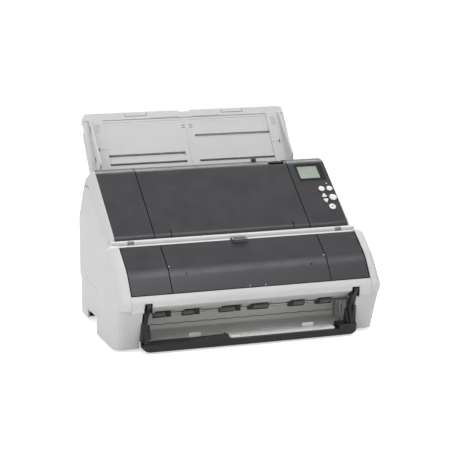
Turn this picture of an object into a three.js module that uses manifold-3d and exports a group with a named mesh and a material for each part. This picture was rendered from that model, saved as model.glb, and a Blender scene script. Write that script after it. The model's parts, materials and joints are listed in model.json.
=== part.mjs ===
// Sheet-fed document scanner standing on an imprinter unit, with hopper and stacker.
// Millimetres, +X to the object's right, +Y to its back, +Z up. Design origin: y = 0 is the front apron,
// z = 0 is the desk. The finished group is moved back by CENTRE_Y so that its box is centred on x = y = 0.
import * as THREE from 'three';
import { mergeVertices } from 'three/addons/utils/BufferGeometryUtils.js';
import Module from 'manifold-3d';

const wasm = await Module();
wasm.setup();

// ---------------------------------------------------------------- driving dimensions
const GAP = 0.3; // clearance between neighbouring mouldings
const WALL = 2.6; // moulded wall thickness
const CENTRE_Y = 93.4; // middle of the object's depth, moved to y = 0

const BODY = { half: 190, back: 197, base: 62, kneeZ: 155, shoulderY: 159, shoulderZ: 213 };
const COVER = { half: 183, seam: 122, slope: 37.4, y: 36.6, z: 173, top: 236, backY: 134 };
const HINGE = { y: 25.3, z: 147.5, roll: 13.4, cheek: 14, pin: 2.5 };
const CREASE = { y: 131, z: 211, slope: 34.3 }; // upper end of the cheek's lower edge
const PATH = { y: 165, z: 178, slope: 33.3, half: 160 }; // paper path, from the hopper's foot to the exit
const TRAY = { y: 167, z: 177.2, slope: 54.7, half: 168, top: 143, back: 14 };
const GUIDE = { inner: 136.5, fin: 156.5, low: 17, high: 142.9 };
const RACK = { module: 1.5, teeth: 16, y: 95, low: -8, high: -4.6 };
const GEAR = { module: 1, roller: 24, motor: 16, x0: -181, x1: -175 };
const PICK = { y: -20, r: 11 }; // roller places along the paper path
const FEED = { y: -50, r: 9 };
const FRAME = { x0: 168.5, x1: 171 };
const IMPRINTER = { half: 201.5, bevel: 188, inner: 183.6, desk: 4.2, seam: 62.9, top: 146.4 };
const RAIL = { y: -14, z: 100, r: 3 };
const EXIT = { y: -30, z: 48.4, shaft: 1.4, r: 3.9 };
const PILLAR = { inner: 164.5, top: 62.6 };
const HOOK = { inner: 152.8, outer: 164.6, low: 60, top: 77.6 };
const STACKER = { arm0: 155.5, arm1: 161.7, front: -69.5, back: -46, low: 3.3, sill: 13 };

// ---------------------------------------------------------------- materials
const finish = (color, roughness, metalness = 0) => () =>
  new THREE.MeshStandardMaterial({ color, roughness, metalness });
const LIGHT = finish(0xd6d8d7, 0.55);
const DARK = finish(0x424246, 0.4);
const INNER = finish(0x2b2c2e, 0.6);
const WARM = finish(0xcfcdc7, 0.6);
const BLACK = finish(0x2d2d30, 0.45);
const STEEL = finish(0xb4b6b8, 0.3, 1);
const RUBBER = finish(0x69675a, 0.9);
const WHITE = finish(0xe8eae9, 0.5);
const BOARD = finish(0x2f6b45, 0.6);
const SCREEN = finish(0x98a398, 0.25);

// ---------------------------------------------------------------- outlines
const rad = THREE.MathUtils.degToRad;
const ARC_STEP = rad(9);

// Corners are [u, v] or [u, v, radius]; a radius rounds that corner with an arc, of a stated number of steps
// when two outlines have to match point by point.
function outline(corners, fixedSteps) {
  const points = [];
  corners.forEach(([u, v, radius], i) => {
    const corner = new THREE.Vector2(u, v);
    if (!radius) {
      points.push(corner);
      return;
    }
    const before = new THREE.Vector2(...corners.at(i - 1)).sub(corner).normalize();
    const after = new THREE.Vector2(...corners[(i + 1) % corners.length]).sub(corner).normalize();
    const half = Math.acos(THREE.MathUtils.clamp(before.dot(after), -1, 1)) / 2;
    const centre = before.clone().add(after).normalize().multiplyScalar(radius / Math.sin(half)).add(corner);
    const start = before.multiplyScalar(radius / Math.tan(half)).add(corner).sub(centre).angle();
    const end = after.multiplyScalar(radius / Math.tan(half)).add(corner).sub(centre).angle();
    const sweep = Math.atan2(Math.sin(end - start), Math.cos(end - start));
    const steps = fixedSteps ?? Math.max(2, Math.ceil(Math.abs(sweep) / ARC_STEP));
    for (let k = 0; k <= steps; k += 1) {
      const a = start + (sweep * k) / steps;
      points.push(new THREE.Vector2(radius * Math.cos(a), radius * Math.sin(a)).add(centre));
    }
  });
  return new THREE.Shape(points);
}

function circle(u, v, r, steps = 20) {
  const points = [];
  for (let k = 0; k < steps; k += 1) {
    const a = (2 * Math.PI * k) / steps;
    points.push([u + r * Math.cos(a), v + r * Math.sin(a)]);
  }
  return points;
}

// Points of an arc from angle a0 to a1, in degrees.
function arc(u, v, r, a0, a1, steps = 10) {
  const points = [];
  for (let k = 0; k <= steps; k += 1) {
    const a = rad(a0 + ((a1 - a0) * k) / steps);
    points.push([u + r * Math.cos(a), v + r * Math.sin(a)]);
  }
  return points;
}

// ---------------------------------------------------------------- solids
const BASIS = {
  x: new THREE.Matrix4().makeBasis(
    new THREE.Vector3(0, 1, 0), new THREE.Vector3(0, 0, 1), new THREE.Vector3(1, 0, 0)),
  y: new THREE.Matrix4().makeBasis(
    new THREE.Vector3(0, 0, 1), new THREE.Vector3(1, 0, 0), new THREE.Vector3(0, 1, 0)),
  z: new THREE.Matrix4(),
};

// A prism: corners are (y, z) along x, (z, x) along y and (x, y) along z.
function prism(axis, corners, from, to) {
  const geometry = new THREE.ExtrudeGeometry(outline(corners), {
    depth: to - from, bevelEnabled: false, steps: 1,
  });
  return geometry.translate(0, 0, from).applyMatrix4(BASIS[axis]);
}

function box(x0, x1, y0, y1, z0, z1) {
  return new THREE.BoxGeometry(x1 - x0, y1 - y0, z1 - z0)
    .translate((x0 + x1) / 2, (y0 + y1) / 2, (z0 + z1) / 2);
}

// Turned part on an axis along x: profile is [radius, x] pairs from end to end.
function turned(profile, y = 0, z = 0, steps = 16) {
  const ends = [[0, profile[0][1]], ...profile, [0, profile.at(-1)[1]]];
  const points = ends.map(([r, x]) => new THREE.Vector2(r, x));
  return new THREE.LatheGeometry(points, steps).rotateZ(-Math.PI / 2).translate(0, y, z);
}

function rod(r, x0, x1, y = 0, z = 0, steps = 16) {
  return turned([[r, x0], [r, x1]], y, z, steps);
}

function pegZ(r, x, y, z0, z1, steps = 16) {
  return prism('z', circle(x, y, r, steps), z0, z1);
}

// Shared vertices merged, and the empty triangles at a lathe's poles dropped.
function clean(geometry) {
  const bare = geometry.clone();
  bare.deleteAttribute('normal');
  bare.deleteAttribute('uv');
  const merged = mergeVertices(bare, 1e-4);
  const kept = [];
  for (let i = 0; i < merged.index.count; i += 3) {
    const [a, b, c] = merged.index.array.subarray(i, i + 3);
    if (a !== b && b !== c && c !== a) kept.push(a, b, c);
  }
  return merged.setIndex(kept);
}

function toManifold(geometry) {
  const merged = clean(geometry);
  return new wasm.Manifold(new wasm.Mesh({
    numProp: 3,
    vertProperties: new Float32Array(merged.attributes.position.array),
    triVerts: new Uint32Array(merged.index.array),
  }));
}

function fromManifold(manifold) {
  const mesh = manifold.getMesh();
  const geometry = new THREE.BufferGeometry();
  geometry.setAttribute('position', new THREE.BufferAttribute(mesh.vertProperties, 3));
  geometry.setIndex(new THREE.BufferAttribute(mesh.triVerts, 1));
  return geometry;
}

function combine(method, first, others) {
  return fromManifold(others.flat().reduce((sum, g) => sum[method](toManifold(g)), toManifold(first)));
}
const join = (first, ...others) => combine('add', first, others);
const cut = (first, ...others) => combine('subtract', first, others);

// A solid lofted between two outlines with the same number of points; the side is rounded as an ellipse.
function loft(inner, outer, x0, x1, steps = 5) {
  const rings = [inner.map(([y, z]) => [x0, y, z])];
  for (let k = 0; k <= steps; k += 1) {
    const a = (Math.PI / 2) * (k / steps);
    const w = 1 - Math.cos(a);
    const x = THREE.MathUtils.lerp(x0 + 3 * Math.sign(x1 - x0), x1, Math.sin(a));
    rings.push(inner.map(([y, z], i) => [
      x, THREE.MathUtils.lerp(y, outer[i][0], w), THREE.MathUtils.lerp(z, outer[i][1], w)]));
  }
  const count = inner.length;
  const index = [];
  for (let ring = 0; ring < rings.length - 1; ring += 1) {
    for (let i = 0; i < count; i += 1) {
      const a = ring * count + i;
      const b = ring * count + ((i + 1) % count);
      index.push(a, b, b + count, a, b + count, a + count);
    }
  }
  const cap = (ring) => THREE.ShapeUtils.triangulateShape(
    rings[ring].map(([, y, z]) => new THREE.Vector2(y, z)), []);
  const last = (rings.length - 1) * count;
  cap(0).forEach(([a, b, c]) => index.push(c, b, a));
  cap(rings.length - 1).forEach(([a, b, c]) => index.push(a + last, b + last, c + last));
  if (x1 < x0) index.reverse();
  const geometry = new THREE.BufferGeometry();
  geometry.setAttribute('position', new THREE.Float32BufferAttribute(rings.flat(2), 3));
  geometry.setIndex(index);
  return geometry;
}

// ---------------------------------------------------------------- placing
function frameAt(parent, y = 0, z = 0, slope = 0) {
  const group = new THREE.Group();
  group.position.set(0, y, z);
  group.rotation.x = rad(slope);
  parent.add(group);
  return group;
}

function place(parent, name, geometry, material, x = 0, y = 0, z = 0) {
  const mesh = new THREE.Mesh(clean(geometry), material());
  mesh.name = name;
  mesh.position.set(x, y, z);
  parent.add(mesh);
  return mesh;
}

// A point of a sloping frame, in design y and z.
function inFrame(frame, along, out) {
  const a = rad(frame.slope);
  return {
    y: frame.y + along * Math.cos(a) - out * Math.sin(a),
    z: frame.z + along * Math.sin(a) + out * Math.cos(a),
  };
}

const machine = new THREE.Group();
machine.name = 'document_scanner';
const design = frameAt(machine, -CENTRE_Y);
const coverPlane = frameAt(design, COVER.y, COVER.z, COVER.slope);
const pathPlane = frameAt(design, PATH.y, PATH.z, PATH.slope);
const trayPlane = frameAt(design, TRAY.y, TRAY.z, TRAY.slope);

// ---------------------------------------------------------------- gears
const pitchRadius = (module, teeth) => (module * teeth) / 2;

// A spur gear outline: narrow straight-sided teeth, the first at angle `phase`.
function gearOutline(module, teeth, phase) {
  const pitch = (2 * Math.PI) / teeth;
  const tip = pitchRadius(module, teeth) + 0.8 * module;
  const root = pitchRadius(module, teeth) - 1.1 * module;
  const points = [];
  for (let k = 0; k < teeth; k += 1) {
    const a = phase + k * pitch;
    [[root, -0.24], [tip, -0.1], [tip, 0.1], [root, 0.24]].forEach(([r, share]) => {
      points.push([r * Math.cos(a + share * pitch), r * Math.sin(a + share * pitch)]);
    });
  }
  return points;
}

// The phase that puts a gear in mesh with its driver, seen at angle `bearing` from the driver's centre.
function meshedPhase(driverTeeth, driverPhase, teeth, bearing) {
  const share = ((bearing - driverPhase) * driverTeeth) / (2 * Math.PI);
  return bearing + Math.PI - ((0.5 - share) * 2 * Math.PI) / teeth;
}

// Shafts of the paper feed drive, in design y and z.
const pickAxis = inFrame(PATH, PICK.y, GAP - PICK.r);
const feedAxis = inFrame(PATH, FEED.y, GAP - FEED.r);

function motorAxisPoint() {
  const reach = pitchRadius(GEAR.module, GEAR.roller) + pitchRadius(GEAR.module, GEAR.motor);
  const dy = pickAxis.y - feedAxis.y;
  const dz = pickAxis.z - feedAxis.z;
  const span = Math.hypot(dy, dz);
  const drop = Math.sqrt(reach ** 2 - (span / 2) ** 2);
  return {
    y: (pickAxis.y + feedAxis.y) / 2 + (dz / span) * drop,
    z: (pickAxis.z + feedAxis.z) / 2 - (dy / span) * drop,
  };
}
const motorAxis = motorAxisPoint();

function feedGears() {
  const bearing = (to) => Math.atan2(to.z - motorAxis.z, to.y - motorAxis.y);
  const wheel = (phase) => cut(
    prism('x', gearOutline(GEAR.module, GEAR.roller, phase), GEAR.x0, GEAR.x1),
    rod(3 + GAP, GEAR.x0 - 1, GEAR.x1 + 1));
  const phase = (to) => meshedPhase(GEAR.motor, 0, GEAR.roller, bearing(to));
  place(design, 'pick_gear', wheel(phase(pickAxis)), BLACK, 0, pickAxis.y, pickAxis.z);
  place(design, 'feed_gear', wheel(phase(feedAxis)), BLACK, 0, feedAxis.y, feedAxis.z);
  const pinion = prism('x', gearOutline(GEAR.module, GEAR.motor, 0), GEAR.x0, GEAR.x1);
  place(design, 'motor_pinion', cut(pinion, rod(2 + GAP, GEAR.x0 - 1, GEAR.x1 + 1)), STEEL,
    0, motorAxis.y, motorAxis.z);
}

// ---------------------------------------------------------------- scanner body
// Edge of the body under the feeder unit's cheek: around the hinge and up along the crease.
function cheekEdge(clearance) {
  const a = rad(CREASE.slope);
  const along = [Math.cos(a), Math.sin(a)];
  const drop = [Math.sin(a) * clearance, -Math.cos(a) * clearance];
  const end = [CREASE.y + drop[0], CREASE.z + drop[1]];
  const r = HINGE.cheek + clearance;
  const offset = (HINGE.y - end[0]) * along[1] - (HINGE.z - end[1]) * along[0];
  const reach = (HINGE.y - end[0]) * along[0] + (HINGE.z - end[1]) * along[1];
  const t = reach + Math.sqrt(r ** 2 - offset ** 2);
  const meet = [end[0] + along[0] * t, end[1] + along[1] * t];
  const angle = THREE.MathUtils.radToDeg(Math.atan2(meet[1] - HINGE.z, meet[0] - HINGE.y));
  return { end, meet, r, angle };
}

function sideCover(side) {
  const edge = cheekEdge(0.5);
  const seam = CREASE.z - 0.5;
  const slopeY = (z) => THREE.MathUtils.mapLinear(
    z, BODY.kneeZ, BODY.shoulderZ, BODY.back - 0.5, BODY.shoulderY - 0.5);
  const corners = [
    [9.8, BODY.base + GAP], [BODY.back - 0.5, BODY.base + GAP, 3], [BODY.back - 0.5, BODY.kneeZ, 14],
    [slopeY(seam), seam], [edge.end[0], seam],
    ...arc(HINGE.y, HINGE.z, edge.r, edge.angle, -160, 14), [9.8, 142.5],
  ];
  const span = (a, b) => [side * a, side * b].sort((p, q) => p - q);
  const low = 174.5;
  const flange = prism('x', [
    [slopeY(low), low], [slopeY(seam), seam], [slopeY(seam) - 4, seam - 2], [137, seam - 2],
    [137, seam - 4.5], [slopeY(seam) - 5, seam - 4.5], [slopeY(low) - 3, low],
  ], ...span(171.6, 185));
  return join(prism('x', corners, ...span(184.5, BODY.half)), flange);
}

function rearCover() {
  const rise = BODY.shoulderZ - BODY.kneeZ;
  const run = BODY.shoulderY - BODY.back;
  const share = 0.3;
  const top = [BODY.back + run * share, BODY.kneeZ + rise * share];
  const shell = prism('x', [
    [BODY.back, BODY.base + GAP], [BODY.back, BODY.kneeZ, 14], top, [top[0] - WALL, top[1] - 1.6],
    [BODY.back - WALL, BODY.kneeZ - 1, 11.5], [BODY.back - WALL, BODY.base + GAP],
  ], -184.2, 184.2);
  const vents = [];
  for (let k = 0; k < 9; k += 1) {
    vents.push(box(-120, -60, 190, 200, 92 + k * 5, 94.2 + k * 5));
  }
  return cut(shell, vents, box(106.5, 124.5, 190, 200, 75.5, 88.5), box(128.5, 143.5, 190, 200, 75.5, 86.5));
}

function frontApron() {
  const guideLow = inFrame(PATH, -194, 2);
  const guideHigh = inFrame(PATH, -135, 2);
  const guideTop = inFrame(PATH, -135, 4.5);
  const guideBack = inFrame(PATH, -187, 4.5);
  const upper = prism('x', [
    [0, BODY.base + GAP], [0, 151.3, 2], [9.5, 151.3], [9.5, 148.6], [WALL, 143.3], [WALL, BODY.base + GAP],
  ], -183, 183);
  const guide = prism('x', [
    [guideLow.y, guideLow.z], [guideHigh.y, guideHigh.z], [guideTop.y, guideTop.z],
    [guideBack.y, guideBack.z], [1, guideBack.z + 3], [1, guideLow.z],
  ], -166, 166);
  const ends = [-1, 1].map((s) => prism('z', [
    [s * 182, 9.5], [s * 182, 0], [s * BODY.half, 0, 5], [s * BODY.half, 9.5],
  ], BODY.base + GAP, 151.3));
  const slots = [-162, 162].map((x) => box(x - 5.2, x + 5.2, -1, 6, 144, 153));
  const exit = box(-PATH.half - 1, PATH.half + 1, -5, 6, 55, guideLow.z + 0.2);
  return cut(join(upper, guide, ends), slots, exit);
}

function bottomPan() {
  const pan = box(-183.5, 183.5, 27, 194, BODY.base + GAP, BODY.base + 9);
  return cut(pan, box(-181, 181, 29.5, 191.5, BODY.base + GAP + WALL, BODY.base + 12));
}

function chassisFrame() {
  const corners = [
    [24, 72], [190, 72], [190, 150, 8], [163, 193, 6], [150, 190, 10], [60, 128, 20], [34, 120, 4],
    [32.5, 147.5],
    ...arc(HINGE.y, HINGE.z, 7.2, 0, 180, 8), [24, 138],
  ];
  const plate = (x0, x1) => cut(
    prism('x', corners, x0, x1),
    rod(HINGE.pin + GAP, x0 - 1, x1 + 1, HINGE.y, HINGE.z),
    rod(3 + GAP, x0 - 1, x1 + 1, pickAxis.y, pickAxis.z),
    rod(3 + GAP, x0 - 1, x1 + 1, feedAxis.y, feedAxis.z),
    rod(3, x0 - 1, x1 + 1, motorAxis.y, motorAxis.z));
  const tie = box(-FRAME.x0 - 1, FRAME.x0 + 1, 100, 125, 72, 74.5);
  return join(plate(-FRAME.x1, -FRAME.x0), plate(FRAME.x0, FRAME.x1), tie);
}

function lowerPaperGuide() {
  const plate = prism('x', [[-195, -3.2], [-4, -3.2], [2, -8], [4, -7], [0, -0.7, 4], [-195, -0.7]],
    -PATH.half, PATH.half);
  const window = (y0, y1, x0, x1) => box(x0, x1, y0, y1, -12, 5);
  const pair = (y0, y1, x0, x1) => [window(y0, y1, x0, x1), window(y0, y1, -x1, -x0)];
  return cut(plate, pair(PICK.y - 9, PICK.y + 9, 8, 34), pair(FEED.y - 8, FEED.y + 8, 8, 34),
    window(-103, -93, -154, 154));
}

function scannerBody() {
  place(design, 'left_side_cover', sideCover(-1), LIGHT);
  place(design, 'right_side_cover', sideCover(1), LIGHT);
  place(design, 'rear_cover', rearCover(), LIGHT);
  place(design, 'front_apron', frontApron(), LIGHT);
  place(design, 'bottom_pan', bottomPan(), STEEL);
  place(design, 'chassis_frame', chassisFrame(), STEEL);
  place(design, 'adf_hinge_pin', rod(HINGE.pin, -189, 189), STEEL, 0, HINGE.y, HINGE.z);
  place(pathPlane, 'lower_paper_guide', lowerPaperGuide(), INNER);
  const readUnit = join(box(-158, 158, -112, -84, -26, -3.6), box(-152, 152, -102, -94, -4, -1.2));
  place(pathPlane, 'lower_read_unit', readUnit, BLACK);
  const connectors = join(box(104, 154, 188, 194, 74, 90), box(108, 123, 193, 197.6, 77, 87),
    box(130, 142, 193, 197.6, 77, 85));
  place(design, 'connector_block', connectors, BLACK);
  place(design, 'main_board', box(-120, 100, 132, 190, 78, 79.6), BOARD);
  const motor = turned([[1.9, -183], [1.9, -167.5], [15.5, -167.5], [15.5, -130], [13, -128]]);
  place(design, 'drive_motor', motor, STEEL, 0, motorAxis.y, motorAxis.z);
}

// Rollers of the paper path: two tyres on a shaft.
function twoTyres(r, shaft, x0, x1) {
  return turned([
    [shaft, x0], [shaft, -32], [r - 0.8, -32], [r, -31], [r, -11], [r - 0.8, -10], [shaft, -10],
    [shaft, 10], [r - 0.8, 10], [r, 11], [r, 31], [r - 0.8, 32], [shaft, 32], [shaft, x1],
  ]);
}

function feedDrive() {
  place(design, 'pick_roller', twoTyres(PICK.r, 3, -182, 173), RUBBER, 0, pickAxis.y, pickAxis.z);
  place(design, 'feed_roller', twoTyres(FEED.r, 3, -182, 173), RUBBER, 0, feedAxis.y, feedAxis.z);
  feedGears();
}

// ---------------------------------------------------------------- feeder unit (ADF)
// Section of the dark cover: rolled over the hinge, flat slope, rounded over to the top.
function coverSection(wall) {
  const tan = Math.tan(rad(COVER.slope));
  const side = (depth) => {
    const y0 = HINGE.y - HINGE.roll + depth;
    const py = COVER.y + depth * Math.sin(rad(COVER.slope));
    const pz = COVER.z - depth * Math.cos(rad(COVER.slope));
    return [
      [y0, HINGE.z - 0.6], [y0, pz + (y0 - py) * tan, HINGE.roll - depth],
      [py + (COVER.top - depth - pz) / tan, COVER.top - depth, 22 - depth], [COVER.backY, COVER.top - depth],
    ];
  };
  return [...side(0), ...side(wall).reverse()];
}

function coverShell(x0, x1) {
  return join(
    prism('x', coverSection(WALL), x0, x1),
    prism('x', coverSection(8), x0, x0 + 2),
    prism('x', coverSection(8), x1 - 2, x1));
}

function cheek(side) {
  const edge = cheekEdge(0);
  const tan = Math.tan(rad(COVER.slope));
  const frontY = HINGE.y - HINGE.cheek;
  const corners = [
    [CREASE.y, CREASE.z], [156, CREASE.z], [BODY.shoulderY, BODY.shoulderZ, 1.5], [130, 236.3, 4],
    [COVER.y + (COVER.top + 0.6 - COVER.z) / tan, COVER.top + 0.3, 20],
    [frontY, COVER.z + (frontY - COVER.y) * tan + 0.6, 12],
    ...arc(HINGE.y, HINGE.z, edge.r, 180, 360 + edge.angle, 16),
  ];
  const x = [side * 183.3, side * BODY.half].sort((a, b) => a - b);
  const lean = 0.222;
  const wedge = [[0, BODY.half], [60, BODY.half - 60 * lean], [60, BODY.half + 20], [0, BODY.half + 20]]
    .map(([h, w]) => [h, side * w]);
  const along = prism('y', side > 0 ? wedge : wedge.reverse(), -140, 60)
    .rotateX(rad(CREASE.slope)).translate(0, CREASE.y, CREASE.z);
  return cut(prism('x', corners, ...x), along,
    rod(HINGE.pin + GAP, side * 192 - 10, side * 192 + 10, HINGE.y, HINGE.z));
}

// Places on the operator panel: x and distance up the cover slope.
const LCD = { x0: 134, x1: 175.5, s0: 62.5, s1: 95.5, depth: 1.5 };
const BUTTONS = {
  scan_button: { x: 163.2, s: 42.2, r: 4.8 },
  function_button: { x: 176, s: 42, r: 4.8 },
  enter_button: { x: 176.2, s: 23.5, r: 5.9 },
  power_button: { x: 169.2, s: 4.5, r: 5.2 },
  up_button: { x: 163, s: 28.6, r: 4.6, arrow: 1 },
  down_button: { x: 163, s: 17.2, r: 4.6, arrow: -1 },
};

function buttonOutline({ r, arrow }, extra = 0) {
  if (!arrow) return circle(0, 0, r + extra);
  const reach = r + 1.9 * extra;
  return [[-reach, -0.75 * reach * arrow, 1], [reach, -0.75 * reach * arrow, 1], [0, reach * arrow, 1]];
}

function operatorPanel() {
  const holes = Object.values(BUTTONS).map((button) =>
    prism('z', buttonOutline(button, GAP), -4, 4).translate(button.x, button.s, 0));
  const pocket = box(LCD.x0, LCD.x1, LCD.s0, LCD.s1, -LCD.depth, 3);
  const led = pegZ(1.2, 174.5, 53, -4, 4, 16);
  const cutters = [...holes, pocket, led].map((g) =>
    g.rotateX(rad(COVER.slope)).translate(0, COVER.y, COVER.z));
  return cut(coverShell(COVER.seam + 0.2, COVER.half), cutters);
}

function centreCover() {
  const seams = [-97, 97].map((x) => box(x - 0.4, x + 0.4, 11, 20.5, 147, 162));
  const seamCut = seams.map((g) => cut(g, rod(HINGE.roll - 0.7, -100, 100, HINGE.y, HINGE.z, 64)));
  const lever = box(58, 81, 128.4, 132, 220, 240);
  const tabBay = box(94.5, COVER.seam - 2.6, 120.8, 140, 225, 240);
  return cut(coverShell(-COVER.seam + 0.2, COVER.seam - 0.2), seamCut, lever, tabBay);
}

function adfInnerGuide() {
  const floor = box(-165, 165, -131, -8, 1.5, 4);
  const wall = (x0, x1) => prism('x', [[-131, 1.5], [-8, 1.5], [-8, 24], [-60, 42], [-131, 20]], x0, x1);
  const pair = [[8, 34], [-34, -8]].map(([x0, x1]) => box(x0, x1, FEED.y - 10, FEED.y + 10, 0, 8));
  const rear = prism('x', [[158.5, 176.5], [137.4, 232.8], [134.9, 232], [155.4, 175]], -165, 165)
    .translate(0, -PATH.y, -PATH.z).rotateX(rad(-PATH.slope));
  return cut(join(floor, wall(-165, -162.5), wall(162.5, 165), rear), pair, box(-154, 154, -103, -93, 0, 8));
}

function feederUnit() {
  place(design, 'adf_left_cheek', cheek(-1), LIGHT);
  place(design, 'adf_right_cheek', cheek(1), LIGHT);
  place(design, 'adf_left_cover', coverShell(-COVER.half, -COVER.seam - 0.2), DARK);
  place(design, 'adf_centre_cover', centreCover(), DARK);
  place(design, 'operator_panel', operatorPanel(), DARK);
  place(pathPlane, 'adf_inner_guide', adfInnerGuide(), INNER);
  const readUnit = join(box(-158, 158, -112, -84, 4.4, 28), box(-152, 152, -102, -94, 2, 5));
  place(pathPlane, 'upper_read_unit', readUnit, BLACK);
  place(coverPlane, 'lcd_module', box(LCD.x0 + GAP, LCD.x1 - GAP, LCD.s0 + GAP, LCD.s1 - GAP,
    -LCD.depth + GAP, -0.1), SCREEN);
  const brake = inFrame(PATH, FEED.y, GAP + 0.6 + FEED.r);
  place(design, 'brake_roller', twoTyres(FEED.r, 3, -60, 60), RUBBER, 0, brake.y, brake.z);
  Object.entries(BUTTONS).forEach(([name, button]) => {
    const cap = prism('z', buttonOutline(button), -2.4, 1.1);
    place(coverPlane, name, cap, WHITE, button.x, button.s, 0);
  });
  const lever = join(box(-2.6, 2.6, -1.2, 1.2, -10, 1), prism('x', [
    [-2.6, 0.4], [2.6, 0.4], [2, 5.4, 1.2], [-2, 5.4, 1.2]], -3.5, 3.5));
  place(design, 'feed_lever', lever, BLACK, 73, 130.2, COVER.top);
  const tab = prism('x', [
    [-10, -1], [-1, -1], [0.5, -3], [1.8, -1], [1.5, 1.6, 1], [-10, 1.6, 1],
  ], -11.5, 11.5);
  place(design, 'adf_release_tab', tab, BLACK, 107, 131.5, COVER.top - 2.4);
}

// ---------------------------------------------------------------- hopper
function hopperTray() {
  const plate = prism('z', [
    [-TRAY.half, 2], [TRAY.half, 2], [TRAY.half, TRAY.top, 1], [-TRAY.half, TRAY.top, 1],
  ], -4, 0);
  const slot = (side, y, width) => box(Math.min(side * 10.5, side * 156), Math.max(side * 10.5, side * 156),
    y - width / 2, y + width / 2, -6, 2);
  const flanges = [-1, 1].map((s) => box(
    Math.min(s * 164.5, s * TRAY.half), Math.max(s * 164.5, s * TRAY.half), 2, 128, -TRAY.back, -3.5));
  const ribs = box(-164.6, 164.6, 2, 4.6, -TRAY.back, -3.5);
  return cut(join(plate, flanges, ribs, box(-2.6, 2.6, 4, 138, -0.5, 0.9), pegZ(2.2, 0, RACK.y, -8.6, -3.5)),
    slot(-1, 80, 5.4), slot(-1, 65.5, 3.4), slot(1, 110, 4.4), slot(1, 65.5, 3.4));
}

const rackReach = pitchRadius(RACK.module, RACK.teeth);
const rackPitch = Math.PI * RACK.module;

// A rack with its teeth towards +y, pitch line at y = 0, a tooth gap centred on x = 0.
function rack(x0, x1) {
  const points = [[x0, -7], [x1, -7], [x1, -1.1 * RACK.module]];
  for (let k = Math.floor(x1 / rackPitch) - 1; k >= Math.ceil(x0 / rackPitch); k -= 1) {
    const middle = (k + 0.5) * rackPitch;
    [[0.24, -1.1], [0.1, 0.8], [-0.1, 0.8], [-0.24, -1.1]].forEach(([share, height]) => {
      points.push([middle + share * rackPitch, height * RACK.module]);
    });
  }
  points.push([x0, -1.1 * RACK.module]);
  return prism('z', points, RACK.low, RACK.high);
}

function sideGuide(side, slotY) {
  const base = box(GUIDE.inner, GUIDE.fin + 1, GUIDE.low, GUIDE.high, 0.4, 2.3);
  const fin = prism('x', [
    [GUIDE.low, 0.4], [GUIDE.high, 0.4], [GUIDE.high, 8.1, 3], [135.3, 8.2, 30], [56.6, 25.4, 5],
    [51.3, 15.5, 3], [GUIDE.low, 12, 3],
  ], GUIDE.fin, GUIDE.fin + 3);
  const upperFoot = box(140, 152, slotY - 1.4, slotY + 1.4, RACK.low, 1);
  const lowerFoot = box(140, 152, 64.1, 66.9, -7, 1);
  const above = slotY > RACK.y;
  const bar = above ? rack(-152, 15).rotateZ(Math.PI) : rack(-15, 152);
  bar.translate(0, RACK.y + (above ? rackReach : -rackReach), 0);
  const whole = join(base, fin, upperFoot, lowerFoot, bar);
  return side > 0 ? whole : mirrorX(whole);
}

function mirrorX(geometry) {
  const mirrored = geometry.clone().scale(-1, 1, 1);
  const order = mirrored.index.array;
  for (let i = 0; i < order.length; i += 3) {
    [order[i], order[i + 1]] = [order[i + 1], order[i]];
  }
  return mirrored;
}

function chuteExtension() {
  const plate = box(-160, 160, 22, 146, -12.4, -9);
  const lip = prism('z', [
    [-TRAY.half + 0.5, TRAY.top + 0.5], [TRAY.half - 0.5, TRAY.top + 0.5], [TRAY.half - 2, 156, 6],
    [-TRAY.half + 2, 156, 6],
  ], -12.4, 1.2);
  return cut(join(plate, lip), prism('x', [[158, -2], [158, 3], [150.5, 3]], -9.5, 9.5));
}

function hopper() {
  place(trayPlane, 'hopper_tray', hopperTray(), LIGHT);
  place(trayPlane, 'left_paper_guide', sideGuide(-1, 80), LIGHT);
  place(trayPlane, 'right_paper_guide', sideGuide(1, 110), LIGHT);
  const pinion = cut(
    prism('z', gearOutline(RACK.module, RACK.teeth, -Math.PI / 2), RACK.low, RACK.high),
    pegZ(2.6, 0, 0, -12, 0));
  place(trayPlane, 'guide_pinion', pinion, WHITE, 0, RACK.y, 0);
  place(trayPlane, 'chute_extension', chuteExtension(), LIGHT);
}

// ---------------------------------------------------------------- imprinter
// Section of the dark imprinter cover: a shallow convex curve from the top edge to the hood.
function imprinterSection(wall) {
  const { top } = IMPRINTER;
  return [
    [-12, top], [-53, top - 28.2, 60], [-72.7, 89], [-72.7 + wall * 0.83, 89 - wall * 0.55],
    [-53 + wall * 0.72, top - 28.2 - wall * 0.74, 60 - wall], [-12 + wall * 0.58, top - wall * 0.81],
  ];
}

function imprinterShell(x0, x1) {
  return prism('x', imprinterSection(WALL), x0, x1);
}

function imprinterCentreCover() {
  const { top } = IMPRINTER;
  const shell = imprinterShell(-COVER.seam + GAP, COVER.seam - GAP);
  const tab = prism('x', [
    [-12.4, top - 2.2], [-9.6, top - 0.8], [-4, top + 1, 1], [-4.2, top + 3, 1], [-16, top + 1.1],
    [-18.2, top - 3],
  ], -11.7, 11.7);
  return join(shell, tab);
}

// Side panel outlines, matched corner by corner: the face beside the covers, and the face past the bevel.
const { desk, seam: panelSeam, top: coverTop } = IMPRINTER;
const PANEL_INNER = [
  [-45.5, desk], [62, desk], [56, 31, 30], [44, 71, 30], [14, 127, 8], [4, coverTop + 1.4, 6],
  [-12.5, coverTop + 1.4, 5], [-53.3, coverTop - 27, 60], [-79.3, 81.5, 8], [-77, 68, 3], [-68, panelSeam],
];
const PANEL_OUTER = [
  [-31, desk], [53.6, desk], [48, 31.7, 30], [36.4, 71, 30], [2, 128, 8], [-2, 131.5, 1.5],
  [-6, 131, 1.5], [-38, 104, 40], [-66, 76, 5], [-65.3, 71, 1], [-61.5, 64],
];
const PANEL_STEPS = 6;

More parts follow.
